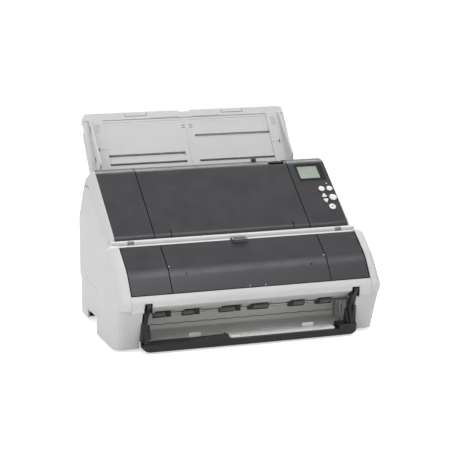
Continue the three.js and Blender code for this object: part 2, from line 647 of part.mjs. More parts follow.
function imprinterPanel(side) {
  const span = (a, b) => [side * a, side * b].sort((p, q) => p - q);
  const points = (corners) => outline(corners, PANEL_STEPS).getPoints().map(({ x, y }) => [x, y]);
  const skin = prism('x', PANEL_INNER, ...span(IMPRINTER.inner, IMPRINTER.bevel));
  const bevel = loft(points(PANEL_INNER), points(PANEL_OUTER), side * (IMPRINTER.bevel - 0.5),
    side * IMPRINTER.half);
  const pillar = prism('x', [
    PANEL_INNER[0], [17, desk], [17, PILLAR.top], [-67.8, PILLAR.top],
  ], ...span(PILLAR.inner, IMPRINTER.bevel));
  const scanner = box(...span(150, BODY.half + 0.4), -0.5, 100, BODY.base - 0.2, 200);
  const base = box(...span(150, BODY.half + 0.4), 23.6, 100, -1, BODY.base);
  const bore = rod(EXIT.shaft + GAP, side * 160 - 7, side * 160 + 7, EXIT.y, EXIT.z);
  return cut(join(skin, bevel, pillar), scanner, base, bore);
}

// Exit rollers: centre and width along x, mirrored on the other side.
const EXIT_ROLLERS = [{ x: 26, w: 24 }, { x: 86, w: 17.5 }, { x: 129.5, w: 18 }];

function frontHood() {
  const end = IMPRINTER.inner - GAP;
  const section = [
    [-73.6, 87.8], [-79.2, 81.8, 7], [-77.4, 71.5, 3], [-36, 52], [-35.4, 54.6], [-74.6, 73.4, 2],
    [-76.3, 80, 4], [-71.2, 85.8],
  ];
  const notches = EXIT_ROLLERS.flatMap(({ x, w }) => [
    box(x - w / 2 - 8.5, x + w / 2 + 1, -48.5, -30, 45, 60),
    box(-x - w / 2 - 1, -x + w / 2 + 8.5, -48.5, -30, 45, 60)]);
  const span = (s, a, b) => [s * a, s * b].sort((p, q) => p - q);
  const chins = [-1, 1].map((s) => prism('x', [
    [-77.4, 73], [-76.2, 63.2, 2], [-61, 63.2], [-72, 74],
  ], ...span(s, HOOK.outer + 0.4, end)));
  const seats = [-1, 1].map((s) => box(
    ...span(s, PILLAR.inner - 0.6, BODY.half), -100, -20, 45, PILLAR.top + 0.6));
  const hooks = [-1, 1].map((s) => box(...span(s, HOOK.inner, HOOK.outer), -100, -62, HOOK.low, HOOK.top));
  return cut(join(prism('x', section, -end, end), chins), notches, seats, hooks);
}

function topBridge() {
  const { top } = IMPRINTER;
  const end = IMPRINTER.inner - GAP;
  const bar = prism('x', [
    [-8.6, top - 0.3], [-0.6, top + 0.4, 1], [-0.6, 134], [-3.4, 134], [-3.4, top - 3.5], [-8.6, top - 3.5],
  ], -end, end);
  return cut(bar, box(-12.7, 12.7, -20, -3.6, 138, 155));
}

function imprinterBase() {
  const { base } = BODY;
  const outer = join(box(-183, 183, 24, 160, desk, base - 0.1), prism('z', [
    [-BODY.half, 78], [BODY.half, 78], [BODY.half, BODY.back - 1, 8], [-BODY.half, BODY.back - 1, 8],
  ], desk, base - 0.1));
  const inner = [box(-180, 180, 27, 190, -1, base - 3), box(-187, 187, 81, 190, -1, base - 3)];
  const notch = box(-200, 200, 93, 151, -1, 18);
  return cut(outer, inner, notch);
}

function exitFloor() {
  return prism('x', [
    [-5, 7.6], [23.2, 7.6], [23.2, 57.5], [5, 66.5], [4, 64.2], [20.4, 56], [20.4, 13.5], [17, 10.4, 3],
    [-5, 10.4],
  ], -PILLAR.inner + 0.6, PILLAR.inner - 0.6);
}

function printCarriage() {
  const body = prism('x', [[-36, 68], [-14, 68], [-8, 76], [-8, 108, 3], [-36, 108, 3]], -17, 17);
  return cut(body, rod(RAIL.r + GAP, -20, 20, RAIL.y, RAIL.z),
    box(-12.5, 12.5, -33, -21, 80, 120));
}

function exitRollers() {
  const half = EXIT_ROLLERS.flatMap(({ x, w }) => [
    [EXIT.shaft, x - w / 2], [EXIT.r, x - w / 2], [EXIT.r, x + w / 2], [EXIT.shaft, x + w / 2]]);
  const other = half.map(([r, x]) => [r, -x]).reverse();
  return turned([[EXIT.shaft, -165.5], ...other, ...half, [EXIT.shaft, 165.5]]);
}

function imprinter() {
  place(design, 'imprinter_base', imprinterBase(), LIGHT);
  place(design, 'imprinter_left_panel', imprinterPanel(-1), LIGHT);
  place(design, 'imprinter_right_panel', imprinterPanel(1), LIGHT);
  place(design, 'imprinter_front_hood', frontHood(), LIGHT);
  place(design, 'imprinter_top_bridge', topBridge(), LIGHT);
  place(design, 'imprinter_left_cover', imprinterShell(-COVER.half, -COVER.seam - 0.3), DARK);
  place(design, 'imprinter_right_cover', imprinterShell(COVER.seam + 0.3, COVER.half), DARK);
  place(design, 'imprinter_centre_cover', imprinterCentreCover(), DARK);
  place(design, 'exit_floor', exitFloor(), WARM);
  place(design, 'carriage_rail', rod(RAIL.r, -183.2, 183.2), STEEL, 0, RAIL.y, RAIL.z);
  place(design, 'print_carriage', printCarriage(), BLACK, -95);
  const cartridge = prism('x', [[-32.6, 80.4], [-21.4, 80.4], [-21.4, 122, 2], [-32.6, 116, 2]], -12, 12);
  place(design, 'ink_cartridge', cartridge, BLACK, -95);
  place(design, 'exit_roller_shaft', exitRollers(), RUBBER, 0, EXIT.y, EXIT.z);
  const footHeight = desk - GAP;
  const foot = () => turned([[8, 0], [9, 1], [9, footHeight]], 0, 0, 20).rotateY(-Math.PI / 2);
  [['front_left', -174, 0], ['front_right', 174, 0], ['rear_left', -176, 180], ['rear_right', 176, 180]]
    .forEach(([where, x, y]) => place(design, `foot_${where}`, foot(), RUBBER, x, y, 0));
}

// ---------------------------------------------------------------- stacker
// Frame: a bowed front bar with a hump and a sill for the extension, and two bent arms hooked into the hood.
function stackerFrame() {
  const { front, back, low, sill } = STACKER;
  const arm = (s) => prism('x', [
    [-73.6, 76.3, 1.5], [-80, 76.3, 2], [-80.6, 71, 3], [-69, 60, 8], [-58.5, 42, 14], [-66, 20, 10],
    [-65, low + 4], [back - 0.8, low + 4], [back - 0.8, 22], [-50, 50, 8], [-61.5, 60, 3], [-71.5, 73.5],
  ], ...[s * STACKER.arm0, s * STACKER.arm1].sort((a, b) => a - b));
  const gusset = (s) => prism('x', [[-62, low + 14], [-51.6, low + 14], [-60.4, 40], [-63, 46]],
    ...[s * (STACKER.arm1 - 0.5), s * 165.6].sort((a, b) => a - b));
  const bow = [];
  for (let k = -6; k <= 6; k += 1) {
    const x = (k / 6) * 156;
    bow.push([x, front + 1.2 * (x / 156) ** 2]);
  }
  const bar = prism('z', [
    ...bow, [166.6, front + 2, 3], [163, -53.2], [162.5, back], [-162.5, back], [-163, -53.2],
    [-166.6, front + 2, 3],
  ], low, 24);
  const corners = [-1, 1].map((s) => {
    const foot = circle(low + 13, 154, 13, 40).filter(([z, x]) => z <= low + 13 && x >= 154);
    const rim = foot.sort((p, q) => p[1] - q[1]).map(([z, x]) => [z, s * x]);
    return prism('y', [[low - 2, s * 154], ...rim, [low + 13, s * 172], [low - 2, s * 172]], -80, -20);
  });
  const dip = prism('y', [
    [14, -153], [14.6, -115, 30], [16, -95, 30], [19.3, -72, 30], [20, -45], [20, -36.5], [sill, -34.5],
    [sill, 137], [19.4, 138], [19.4, 172], [30, 172], [30, -172], [14, -172],
  ], -80, -20);
  const behind = box(-136, -36, -62.5, -20, sill + 1.5, 30);
  return join(cut(bar, dip, corners, behind), arm(-1), arm(1), gusset(-1), gusset(1));
}

function stackerPlate() {
  const { back, sill } = STACKER;
  const front = back + 0.4;
  const plate = box(-150, 150, front, 14, sill - 2, sill);
  const ridge = (x) => prism('x', [[front, sill - 1], [front + 13.6, sill - 1], [front, 21]], x - 9, x + 9);
  return join(plate, ridge(-80), ridge(96));
}

function stacker() {
  const { sill } = STACKER;
  place(design, 'stacker_frame', stackerFrame(), BLACK);
  place(design, 'stacker_plate', stackerPlate(), WHITE);
  const sheet = prism('z', [
    [-33, -20], [-33, -62.5], [-31, -65, 2], [130, -65, 2], [132, -62.5], [132, -20],
  ], sill + GAP, sill + 2.3);
  const ridgeRoom = box(86, 106, -47, -15, sill, sill + 4);
  place(design, 'stacker_extension', cut(sheet, box(25, 75, -57, -39, sill, sill + 3), ridgeRoom), WHITE);
  const flap = join(box(-24, 24, 0, 15, 0, 1.3), rod(1, -24.2, 24.2, 15.2, 0.4, 12));
  place(design, 'paper_stopper', flap, WHITE, 50, -56.5, sill + 0.75);
}

scannerBody();
feedDrive();
feederUnit();
hopper();
imprinter();
stacker();

export default machine;
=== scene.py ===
"""Finishes, fine mouldings and the studio for the sheet-fed document scanner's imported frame."""
import json
import math

import bmesh
import bpy
from mathutils import Matrix, Vector
from mathutils.bvhtree import BVHTree


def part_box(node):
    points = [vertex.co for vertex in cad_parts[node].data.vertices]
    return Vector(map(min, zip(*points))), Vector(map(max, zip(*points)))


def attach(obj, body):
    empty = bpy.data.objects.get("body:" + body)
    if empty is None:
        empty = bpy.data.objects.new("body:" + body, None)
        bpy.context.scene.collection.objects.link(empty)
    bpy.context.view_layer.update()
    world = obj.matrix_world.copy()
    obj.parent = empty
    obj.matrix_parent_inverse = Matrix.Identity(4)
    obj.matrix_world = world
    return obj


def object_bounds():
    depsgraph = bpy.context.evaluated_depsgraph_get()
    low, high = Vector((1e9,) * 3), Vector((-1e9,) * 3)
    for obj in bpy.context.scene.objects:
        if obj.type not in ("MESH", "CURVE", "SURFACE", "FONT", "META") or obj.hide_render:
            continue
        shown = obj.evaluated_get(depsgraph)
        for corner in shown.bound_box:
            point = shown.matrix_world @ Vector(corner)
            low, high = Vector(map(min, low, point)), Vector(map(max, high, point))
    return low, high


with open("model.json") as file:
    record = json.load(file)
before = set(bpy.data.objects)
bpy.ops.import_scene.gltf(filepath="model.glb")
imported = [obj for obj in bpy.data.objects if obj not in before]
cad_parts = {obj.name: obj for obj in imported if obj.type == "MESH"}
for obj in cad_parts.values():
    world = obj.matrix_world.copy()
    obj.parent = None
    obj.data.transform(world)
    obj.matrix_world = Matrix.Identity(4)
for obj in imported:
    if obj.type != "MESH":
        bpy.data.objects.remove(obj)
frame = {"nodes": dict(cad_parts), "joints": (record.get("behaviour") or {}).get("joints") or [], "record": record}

CAD_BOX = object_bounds()
MM = 0.001
JOINTS = {joint["name"]: joint for joint in frame["joints"]}
NODES = frame["nodes"]
X_AXIS = Vector((1, 0, 0))
Y_AXIS = Vector((0, 1, 0))
Z_AXIS = Vector((0, 0, 1))
APRON_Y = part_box("front_apron")[0].y
DESK_Z = CAD_BOX[0][2]


# ------------------------------------------------------------------ places taken from the frame
def at(x, y, z):
    """A point given in millimetres from the middle of the front apron's foot, at desk height."""
    return Vector((x * MM, APRON_Y + y * MM, DESK_Z + z * MM))


def face(point, u, v):
    """A working frame in millimetres at a point: u and v lie in the surface, u x v leaves it."""
    u, v = Vector(u).normalized(), Vector(v).normalized()
    turn = Matrix((u, v, u.cross(v))).transposed().to_4x4()
    return Matrix.Translation(point) @ turn @ Matrix.Scale(MM, 4)


def joint_axis(name):
    return Vector(JOINTS[name]["axis"]).normalized()


def joint_point(name):
    return Vector(JOINTS[name]["pos_m"])


def millimetres(node):
    """Lowest and highest corner of a CAD node, in the millimetres of at()."""
    low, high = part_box(node)
    base = at(0, 0, 0)
    return (low - base) / MM, (high - base) / MM


class Plane:
    """A sloping working plane: across is +X, up runs along the slope and out leaves the surface."""

    def __init__(self, out, origin):
        self.out = out.normalized()
        self.up = self.out.cross(X_AXIS).normalized()
        self.origin = Vector((0, origin.y, origin.z))

    def at(self, x=0.0, up=0.0, out=0.0):
        """A working frame in millimetres at a place on the plane."""
        place = self.origin + (X_AXIS * x + self.up * up + self.out * out) * MM
        return face(place, X_AXIS, self.up)

    def reach(self, node):
        """Lowest and highest corner of a node in this plane's millimetres."""
        points = [(vertex.co - self.origin) / MM for vertex in NODES[node].data.vertices]
        rows = [(p.x, p.dot(self.up), p.dot(self.out)) for p in points]
        return Vector(map(min, zip(*rows))), Vector(map(max, zip(*rows)))


def skin_tree(node):
    """A tree for casting rays at a CAD node's mesh."""
    bm = bmesh.new()
    bm.from_mesh(NODES[node].data)
    tree = BVHTree.FromBMesh(bm)
    bm.free()
    return tree


def on_skin(node, start, direction):
    """A working frame where a ray from a point lands on a node, with u across and the normal out."""
    hit, normal, _, _ = skin_tree(node).ray_cast(start, Vector(direction))
    across = X_AXIS if abs(normal.x) < 0.9 else Y_AXIS
    return face(hit, across, normal.cross(across))


LCD_LOW, LCD_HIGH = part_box("lcd_module")
COVER = Plane(-joint_axis("enter_button_press"), (LCD_LOW + LCD_HIGH) / 2)
COVER = Plane(COVER.out, COVER.origin + COVER.out * (COVER.reach("lcd_module")[1].z + 0.1) * MM)
TRAY = Plane(joint_axis("guide_pinion_spin"), joint_point("guide_pinion_spin"))


# ------------------------------------------------------------------ materials
def new_material(name):
    """A material with an empty node tree, and that tree."""
    material = bpy.data.materials.new(name)
    material.use_nodes = True
    tree = material.node_tree
    tree.nodes.clear()
    return material, tree


def add(tree, kind, inputs=None, **settings):
    """A new shader node with its settings and its inputs' values."""
    node = tree.nodes.new(kind)
    for key, value in settings.items():
        setattr(node, key, value)
    for key, value in (inputs or {}).items():
        node.inputs[key].default_value = value
    return node


def noise(tree, coords, scale, detail=3.0, roughness=0.5):
    node = add(tree, "ShaderNodeTexNoise", {"Scale": scale, "Detail": detail, "Roughness": roughness})
    tree.links.new(coords.outputs["Object"], node.inputs["Vector"])
    return node.outputs["Fac"]


def ranged(tree, value, low, high, start=0.3, end=0.7):
    """A value carried from start..end to low..high."""
    node = add(tree, "ShaderNodeMapRange",
               {"From Min": start, "From Max": end, "To Min": low, "To Max": high})
    tree.links.new(value, node.inputs["Value"])
    return node.outputs["Result"]


def edge_mask(tree, radius):
    """Near 1 along sharp outside edges, from how far a bevelled normal turns from the true one."""
    bevel = add(tree, "ShaderNodeBevel", {"Radius": radius}, samples=4)
    geometry = add(tree, "ShaderNodeNewGeometry")
    dot = add(tree, "ShaderNodeVectorMath", operation="DOT_PRODUCT")
    tree.links.new(bevel.outputs["Normal"], dot.inputs[0])
    tree.links.new(geometry.outputs["Normal"], dot.inputs[1])
    return ranged(tree, dot.outputs["Value"], 1.0, 0.0, 0.75, 0.98)


def mix_colour(tree, factor, first, second):
    node = add(tree, "ShaderNodeMix", data_type="RGBA")
    tree.links.new(factor, node.inputs["Factor"])
    for key, colour in (("A", first), ("B", second)):
        socket = [s for s in node.inputs if s.name == key and s.type == "RGBA"][0]
        if isinstance(colour, bpy.types.NodeSocket):
            tree.links.new(colour, socket)
        else:
            socket.default_value = (*colour, 1.0)
    return [s for s in node.outputs if s.type == "RGBA"][0]


def scaled(colour, factor):
    """A colour made darker or paler."""
    return tuple(min(1.0, channel * factor) for channel in colour)


WORN_EDGE = 0.6 * MM  # how far the paler, polished edge reaches in from a corner


def moulded(name, colour, rough, grain=1500.0, depth=0.03, wear=1.25, mottle=0.03, specular=0.5):
    """Moulded plastic: spark-eroded grain, faint mottling, uneven gloss and polished, paler edges."""
    material, tree = new_material(name)
    coords = add(tree, "ShaderNodeTexCoord")
    shader = add(tree, "ShaderNodeBsdfPrincipled", {"Specular IOR Level": specular})
    out = add(tree, "ShaderNodeOutputMaterial")
    blotch = ranged(tree, noise(tree, coords, 9.0), 0.0, 1.0)
    base = mix_colour(tree, blotch, scaled(colour, 1 - mottle), scaled(colour, 1 + mottle))
    speck = ranged(tree, noise(tree, coords, grain * 0.35, 2.0), 0.0, 1.0, 0.35, 0.65)
    mask = edge_mask(tree, WORN_EDGE)
    tree.links.new(mix_colour(tree, mask, base, scaled(colour, wear)), shader.inputs["Base Color"])
    gloss = ranged(tree, noise(tree, coords, 35.0, 4.0), rough - 0.04, rough + 0.05)
    polish = add(tree, "ShaderNodeMath", operation="MULTIPLY_ADD")
    tree.links.new(mask, polish.inputs[0])
    polish.inputs[1].default_value = -0.12
    tree.links.new(gloss, polish.inputs[2])
    tree.links.new(polish.outputs[0], shader.inputs["Roughness"])
    mixed = add(tree, "ShaderNodeMath", operation="ADD")
    tree.links.new(noise(tree, coords, grain, 2.0, 0.6), mixed.inputs[0])
    tree.links.new(speck, mixed.inputs[1])
    bump = add(tree, "ShaderNodeBump", {"Strength": 0.35, "Distance": depth * MM})
    tree.links.new(mixed.outputs[0], bump.inputs["Height"])
    tree.links.new(bump.outputs["Normal"], shader.inputs["Normal"])
    tree.links.new(shader.outputs[0], out.inputs["Surface"])
    return material


def brushed(name, colour, rough):
    """Plated sheet steel: fine streaks along x, faint blooming."""
    material, tree = new_material(name)
    coords = add(tree, "ShaderNodeTexCoord")
    mapping = add(tree, "ShaderNodeMapping", {"Scale": (0.03, 1.0, 1.0)})
    tree.links.new(coords.outputs["Object"], mapping.inputs["Vector"])
    streak = add(tree, "ShaderNodeTexNoise", {"Scale": 1800.0, "Detail": 3.0})
    tree.links.new(mapping.outputs[0], streak.inputs["Vector"])
    shader = add(tree, "ShaderNodeBsdfPrincipled", {"Metallic": 1.0})
    out = add(tree, "ShaderNodeOutputMaterial")
    bloom = ranged(tree, noise(tree, coords, 30.0), 0.0, 1.0)
    base = mix_colour(tree, bloom, scaled(colour, 0.88), scaled(colour, 1.08))
    tree.links.new(base, shader.inputs["Base Color"])
    tree.links.new(ranged(tree, streak.outputs["Fac"], rough - 0.07, rough + 0.1),
                   shader.inputs["Roughness"])
    bump = add(tree, "ShaderNodeBump", {"Strength": 0.2, "Distance": 0.01 * MM})
    tree.links.new(streak.outputs["Fac"], bump.inputs["Height"])
    tree.links.new(bump.outputs["Normal"], shader.inputs["Normal"])
    tree.links.new(shader.outputs[0], out.inputs["Surface"])
    return material


def screen_material(name, low, high, line):
    """Reflective LCD: grey-green, with a fine pixel grid, a slow tone change and a glossy cover film."""
    material, tree = new_material(name)
    coords = add(tree, "ShaderNodeTexCoord")
    shader = add(tree, "ShaderNodeBsdfPrincipled",
                 {"Roughness": 0.32, "Specular IOR Level": 0.35, "Coat Weight": 0.25, "Coat Roughness": 0.05})
    out = add(tree, "ShaderNodeOutputMaterial")
    wave = ranged(tree, noise(tree, coords, 40.0, 1.0), 0.0, 1.0)
    base = mix_colour(tree, wave, low, high)
    grid = add(tree, "ShaderNodeTexChecker", {"Scale": 2200.0})
    tree.links.new(coords.outputs["Object"], grid.inputs["Vector"])
    dim = ranged(tree, grid.outputs["Fac"], 0.0, 0.05, 0.0, 1.0)
    tree.links.new(mix_colour(tree, dim, base, line), shader.inputs["Base Color"])
    bump = add(tree, "ShaderNodeBump", {"Strength": 0.1, "Distance": 0.01 * MM})
    tree.links.new(grid.outputs["Fac"], bump.inputs["Height"])
    tree.links.new(bump.outputs["Normal"], shader.inputs["Normal"])
    tree.links.new(shader.outputs[0], out.inputs["Surface"])
    return material


LIGHT = moulded("light_shell", (0.53, 0.537, 0.533), 0.5, wear=1.1)
DARK = moulded("dark_shell", (0.028, 0.028, 0.033), 0.38, grain=1900.0, depth=0.015, wear=1.8, mottle=0.05)
INNER = moulded("inner_black", (0.010, 0.011, 0.012), 0.55, wear=2.2)
BLACK = moulded("black_plastic", (0.009, 0.009, 0.011), 0.42, wear=2.4, depth=0.035)
WHITE = moulded("white_plastic", (0.72, 0.735, 0.725), 0.42, grain=2200.0, depth=0.015, wear=1.05)
LINER = moulded("exit_liner", (0.80, 0.785, 0.745), 0.36, depth=0.02, wear=1.1)
PLUG = moulded("plug_grey", (0.2, 0.2, 0.195), 0.5, wear=1.3)
# A paler grey, for printed ticks and for painted shade along a crease and in recesses.
PALE_GREY_PRINT_AND_SHADE = moulded("pale_grey_print_and_shade", (0.42, 0.42, 0.415), 0.5, wear=1.2)
RUBBER = moulded("roller_rubber", (0.125, 0.118, 0.098), 0.7, grain=900.0, depth=0.08, wear=1.3, mottle=0.12)
FOOT = moulded("foot_rubber", (0.02, 0.02, 0.02), 0.8, grain=900.0, depth=0.06, wear=1.4)
BOARD = moulded("circuit_board", (0.02, 0.12, 0.05), 0.35, grain=700.0, depth=0.02, wear=1.5, mottle=0.2)
STEEL = brushed("steel", (0.5, 0.51, 0.52), 0.36)
SCREEN = screen_material("lcd_screen", (0.265, 0.31, 0.27), (0.32, 0.365, 0.322), (0.13, 0.15, 0.13))
BEZEL = moulded("bezel_black", (0.006, 0.006, 0.007), 0.6, wear=1.6, specular=0.25)
GAP_SHADE = moulded("gap_shade", (0.002, 0.002, 0.002), 0.9, wear=1.0, specular=0.02)
SLOT_MATERIAL = {
    "light_shell": LIGHT, "dark_shell": DARK, "inner_black": INNER, "black_plastic": BLACK,
    "exit_liner": LINER, "steel": STEEL, "roller_rubber": RUBBER, "foot_rubber": FOOT,
    "white_plastic": WHITE, "circuit_board": BOARD, "screen": SCREEN,
}


# ------------------------------------------------------------------ finishing the CAD nodes
USUAL_BEVEL = 0.45  # edge radius of a CAD node in mm, except for these
NODE_BEVEL = {"stacker_frame": 1.6, "chute_extension": 1.2, "imprinter_front_hood": 0.8,
              "imprinter_base": 0.9, "hopper_tray": 0.5, "front_apron": 0.7, "rear_cover": 0.6}


def soften(item, width, angle=28.0):
    """Small moulded edge radii and normals that keep flat faces flat."""
    bevel = item.modifiers.new("edge_radius", "BEVEL")
    bevel.width = width * MM
    bevel.segments = 3
    bevel.limit_method = "ANGLE"
    bevel.angle_limit = math.radians(angle)
    bevel.use_clamp_overlap = True
    item.data.polygons.foreach_set("use_smooth", [True] * len(item.data.polygons))
    normals = item.modifiers.new("normals", "WEIGHTED_NORMAL")
    normals.mode = "FACE_AREA"
    normals.keep_sharp = False
    normals.weight = 60


def finish_node(node, material):
    """Gives a CAD node its material, joins its split corners and rounds its edges."""
    item = NODES[node]
    item.data.materials.clear()
    item.data.materials.append(material)
    weld = item.modifiers.new("weld", "WELD")
    weld.merge_threshold = 0.002 * MM
    soften(item, NODE_BEVEL.get(node, USUAL_BEVEL))


for part in frame["record"]["subparts"]:
    finish_node(part["node"], SLOT_MATERIAL[part["material_slot"]])


# ------------------------------------------------------------------ building pieces
def rect(w, h, r=0.0, u=0.0, v=0.0, steps=5):
    """A rounded rectangle's outline about (u, v), anticlockwise."""
    corners = ((-1, -1, 180), (1, -1, -90), (1, 1, 0), (-1, 1, 90))
    if r <= 0:
        return [(u + su * w / 2, v + sv * h / 2) for su, sv, _ in corners]
    points = []
    for su, sv, start in corners[1:] + corners[:1]:
        mid_u, mid_v = u + su * (w / 2 - r), v + sv * (h / 2 - r)
        for k in range(steps + 1):
            a = math.radians(start + 90 * k / steps)
            points.append((mid_u + r * math.cos(a), mid_v + r * math.sin(a)))
    return points


def disc(r, u=0.0, v=0.0, steps=32):
    """A circle's outline about (u, v), anticlockwise."""
    return [(u + r * math.cos(2 * math.pi * k / steps), v + r * math.sin(2 * math.pi * k / steps))
            for k in range(steps)]


def bridge(bm, loops):
    """Quads between each loop of vertices and the next one."""
    for first, second in zip(loops, loops[1:]):
        for i in range(len(first)):
            j = (i + 1) % len(first)
            bm.faces.new((first[i], first[j], second[j], second[i]))


def prism(bm, outline, low, high, place):
    """A closed prism of an outline between two heights of a working frame."""
    loops = [[bm.verts.new(place @ Vector((u, v, z))) for u, v in outline] for z in (low, high)]
    bm.faces.new(loops[0][::-1])
    bm.faces.new(loops[1])
    bridge(bm, loops)


def tapered(bm, outline, low, high, place, inset):
    """A prism whose top is drawn in, for soft-cornered caps."""
    mid = sum((Vector(p) for p in outline), Vector((0, 0))) / len(outline)
    loops = []
    for part, pull in ((0, 0), (0.6, 0), (0.88, 0.35), (1, 1)):
        z = low + (high - low) * part
        loop = []
        for point in outline:
            away = Vector(point) - mid
            spot = mid + away * (1 - pull * inset / max(away.length, 1e-6))
            loop.append(bm.verts.new(place @ Vector((spot.x, spot.y, z))))
        loops.append(loop)
    bm.faces.new(loops[0][::-1])
    bm.faces.new(loops[-1])
    bridge(bm, loops)


def ring(bm, outer, inner, low, high, place):
    """A closed rim between two matched outlines."""
    loops = [[bm.verts.new(place @ Vector((u, v, z))) for u, v in line]
             for line, z in ((outer, low), (outer, high), (inner, high), (inner, low))]
    bridge(bm, loops + loops[:1])


def ribbon(bm, rows, low, high):
    """A closed strip: each row holds its left and right point and the normal there, in metres."""
    loops = []
    for left, right, normal in rows:
        lift, sink = normal * high * MM, normal * low * MM
        loops.append([bm.verts.new(p) for p in (left + sink, right + sink, right + lift, left + lift)])
    bm.faces.new(loops[0][::-1])
    bm.faces.new(loops[-1])
    bridge(bm, loops)


def across_skin(node, x, width, hub, start, end, count):
    """Ribbon rows around a node's section at x, found by rays towards a hub from start to end degrees."""
    tree = skin_tree(node)
    rows = []
    for k in range(count + 1):
        a = math.radians(start + (end - start) * k / count)
        away = Vector((0, -math.cos(a), math.sin(a)))
        probe = Vector((x * MM, hub.y, hub.z)) + away * 0.4
        hit, normal, _, _ = tree.ray_cast(probe, -away)
        if hit is None or normal.dot(away) < 0.1:
            continue
        side = X_AXIS * width * MM / 2
        middle = Vector((x * MM, hit.y, hit.z))
        rows.append((middle - side, middle + side, normal))
    return rows


def lathe(bm, profile, place, steps=32):
    """A turned solid about the working frame's out axis; the profile is (radius, height), axis to axis."""
    rows = []
    for r, z in profile:
        if r <= 0:
            rows.append([bm.verts.new(place @ Vector((0, 0, z)))])
        else:
            rows.append([bm.verts.new(place @ Vector((r * math.cos(2 * math.pi * k / steps),
                                                      r * math.sin(2 * math.pi * k / steps), z)))
                         for k in range(steps)])
    for low, high in zip(rows, rows[1:]):
        for k in range(steps):
            j = (k + 1) % steps
            corners = ([low[0]] if len(low) == 1 else [low[k], low[j]])
            corners += ([high[0]] if len(high) == 1 else [high[j], high[k]])
            bm.faces.new(corners)


def piece(name, bm, body, slot, edge=0.15, material=None):
    """Turns a built mesh into a named piece riding on a body, with its slot's finish."""
    bmesh.ops.recalc_face_normals(bm, faces=bm.faces)
    mesh = bpy.data.meshes.new(name)
    bm.to_mesh(mesh)
    bm.free()
    item = bpy.data.objects.new(name, mesh)
    bpy.context.scene.collection.objects.link(item)
    mesh.materials.append(material or SLOT_MATERIAL[slot])
    if edge:
        soften(item, edge)
    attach(item, body)
    return item


def prisms(name, body, slot, solids, edge=0.15, material=None):
    """One piece of several prisms, each an outline, its two heights and its working frame."""
    bm = bmesh.new()
    for outline, low, high, place in solids:
        prism(bm, outline, low, high, place)
    return piece(name, bm, body, slot, edge, material)


def screw_head(bm, place, r=2.6, height=1.0):
    """A pan head with a cross on it."""
    lathe(bm, [(0, -0.6), (r * 0.97, -0.6), (r, 0.15 * height), (r * 0.86, 0.7 * height),
               (r * 0.5, 0.97 * height), (0, height)], place, 24)
    arm, slim = r * 0.5, r * 0.14
    cross = [(slim, slim), (arm, slim), (arm, -slim), (slim, -slim), (slim, -arm), (-slim, -arm),
             (-slim, -slim), (-arm, -slim), (-arm, slim), (-slim, slim), (-slim, arm), (slim, arm)]
    prism(bm, cross[::-1], height * 0.5, height + 0.06, place)


# ------------------------------------------------------------------ places shared by several details
# In the millimetres of at(), as distances from the machine's middle, its apron and the desk.
# The short seams, and the pip under each, are drawn as painted shade.
SHORT_SEAM_X = 96.0  # short seams at the feeder cover's lower roll, and the pips under them
CREASE_TOP = (131.0, 211.0)  # y and z of the upper end of a cheek's lower edge
CREASE_SLOPE, CREASE_LONG = 34.3, 111.0  # its fall in degrees, and its length down to the hinge
CREASE_REAR = 157.0  # y where the level part of that joint ends
APRON_SLOT = (162.0, 3.9, 147.65)  # middle of an apron slot
HOOK_X = 158.7  # middle of the hood's hook holes
EXIT_BACK_Y = 20.3  # face of the exit cavity's back wall
EXIT_SIDE_X = 164.5  # faces of its side walls
BASE_SIDE_X = 189.8  # outer faces of the imprinter's base
EXIT_ROLLERS = ((26, 24), (86, 17.5), (129.5, 18))  # distance from the middle and width of each roller
REAR_SCREWS = ((-172, 72), (172, 72), (-172, 146), (172, 146), (0, 146), (60, 72))  # x and z
USB, POWER, LOCK = (-115.5, 82), (-136, 81), (160, 84)  # on the rear cover, in its own u and v
LEFT_RIGHT = (-1, 1)


# ------------------------------------------------------------------ operator panel
ROUND_BUTTONS = ("scan_button", "function_button", "enter_button", "power_button")
ARROW_BUTTONS = {"up_button": 1, "down_button": -1}


def bezel():
    """The dark frame of the screen, wider to the right and above, and the rim of its glass."""
    low, high = COVER.reach("lcd_module")
    middle = (low + high) / 2
    wide, tall = high.x - low.x, high.y - low.y
    place = COVER.at(middle.x, middle.y)
    glass_u, glass_v = -2.2, -0.7
    bm = bmesh.new()
    ring(bm, rect(wide + 3.2, tall + 2.2, 1.4, 0.8, 0.3), rect(wide - 7.6, tall - 6.4, 0.9, glass_u, glass_v),
         -0.08, 0.55, place)
    piece("panel_bezel", bm, "adf", "inner_black", 0.25, BEZEL)
    bm = bmesh.new()
    ring(bm, rect(wide - 7.7, tall - 6.5, 0.9, glass_u, glass_v),
         rect(wide - 8.6, tall - 7.4, 0.7, glass_u, glass_v), -0.09, 0.1, place)
    piece("panel_glass_rim", bm, "adf", "black_plastic", 0.05)
    bm = bmesh.new()
    lathe(bm, [(0, -1.6), (1.05, -1.6), (1.05, -0.1), (0.8, 0.2), (0.4, 0.32), (0, 0.36)],
          COVER.at(174.5, middle.y - 26.0), 24)
    piece("panel_lamp", bm, "adf", "white_plastic", 0)


def button_reach(name):
    """A button's middle and its radius across, on the cover's plane."""
    small, large = COVER.reach(name)
    return Vector((*((small + large) / 2).xy, large.z)), (large.x - small.x) / 2


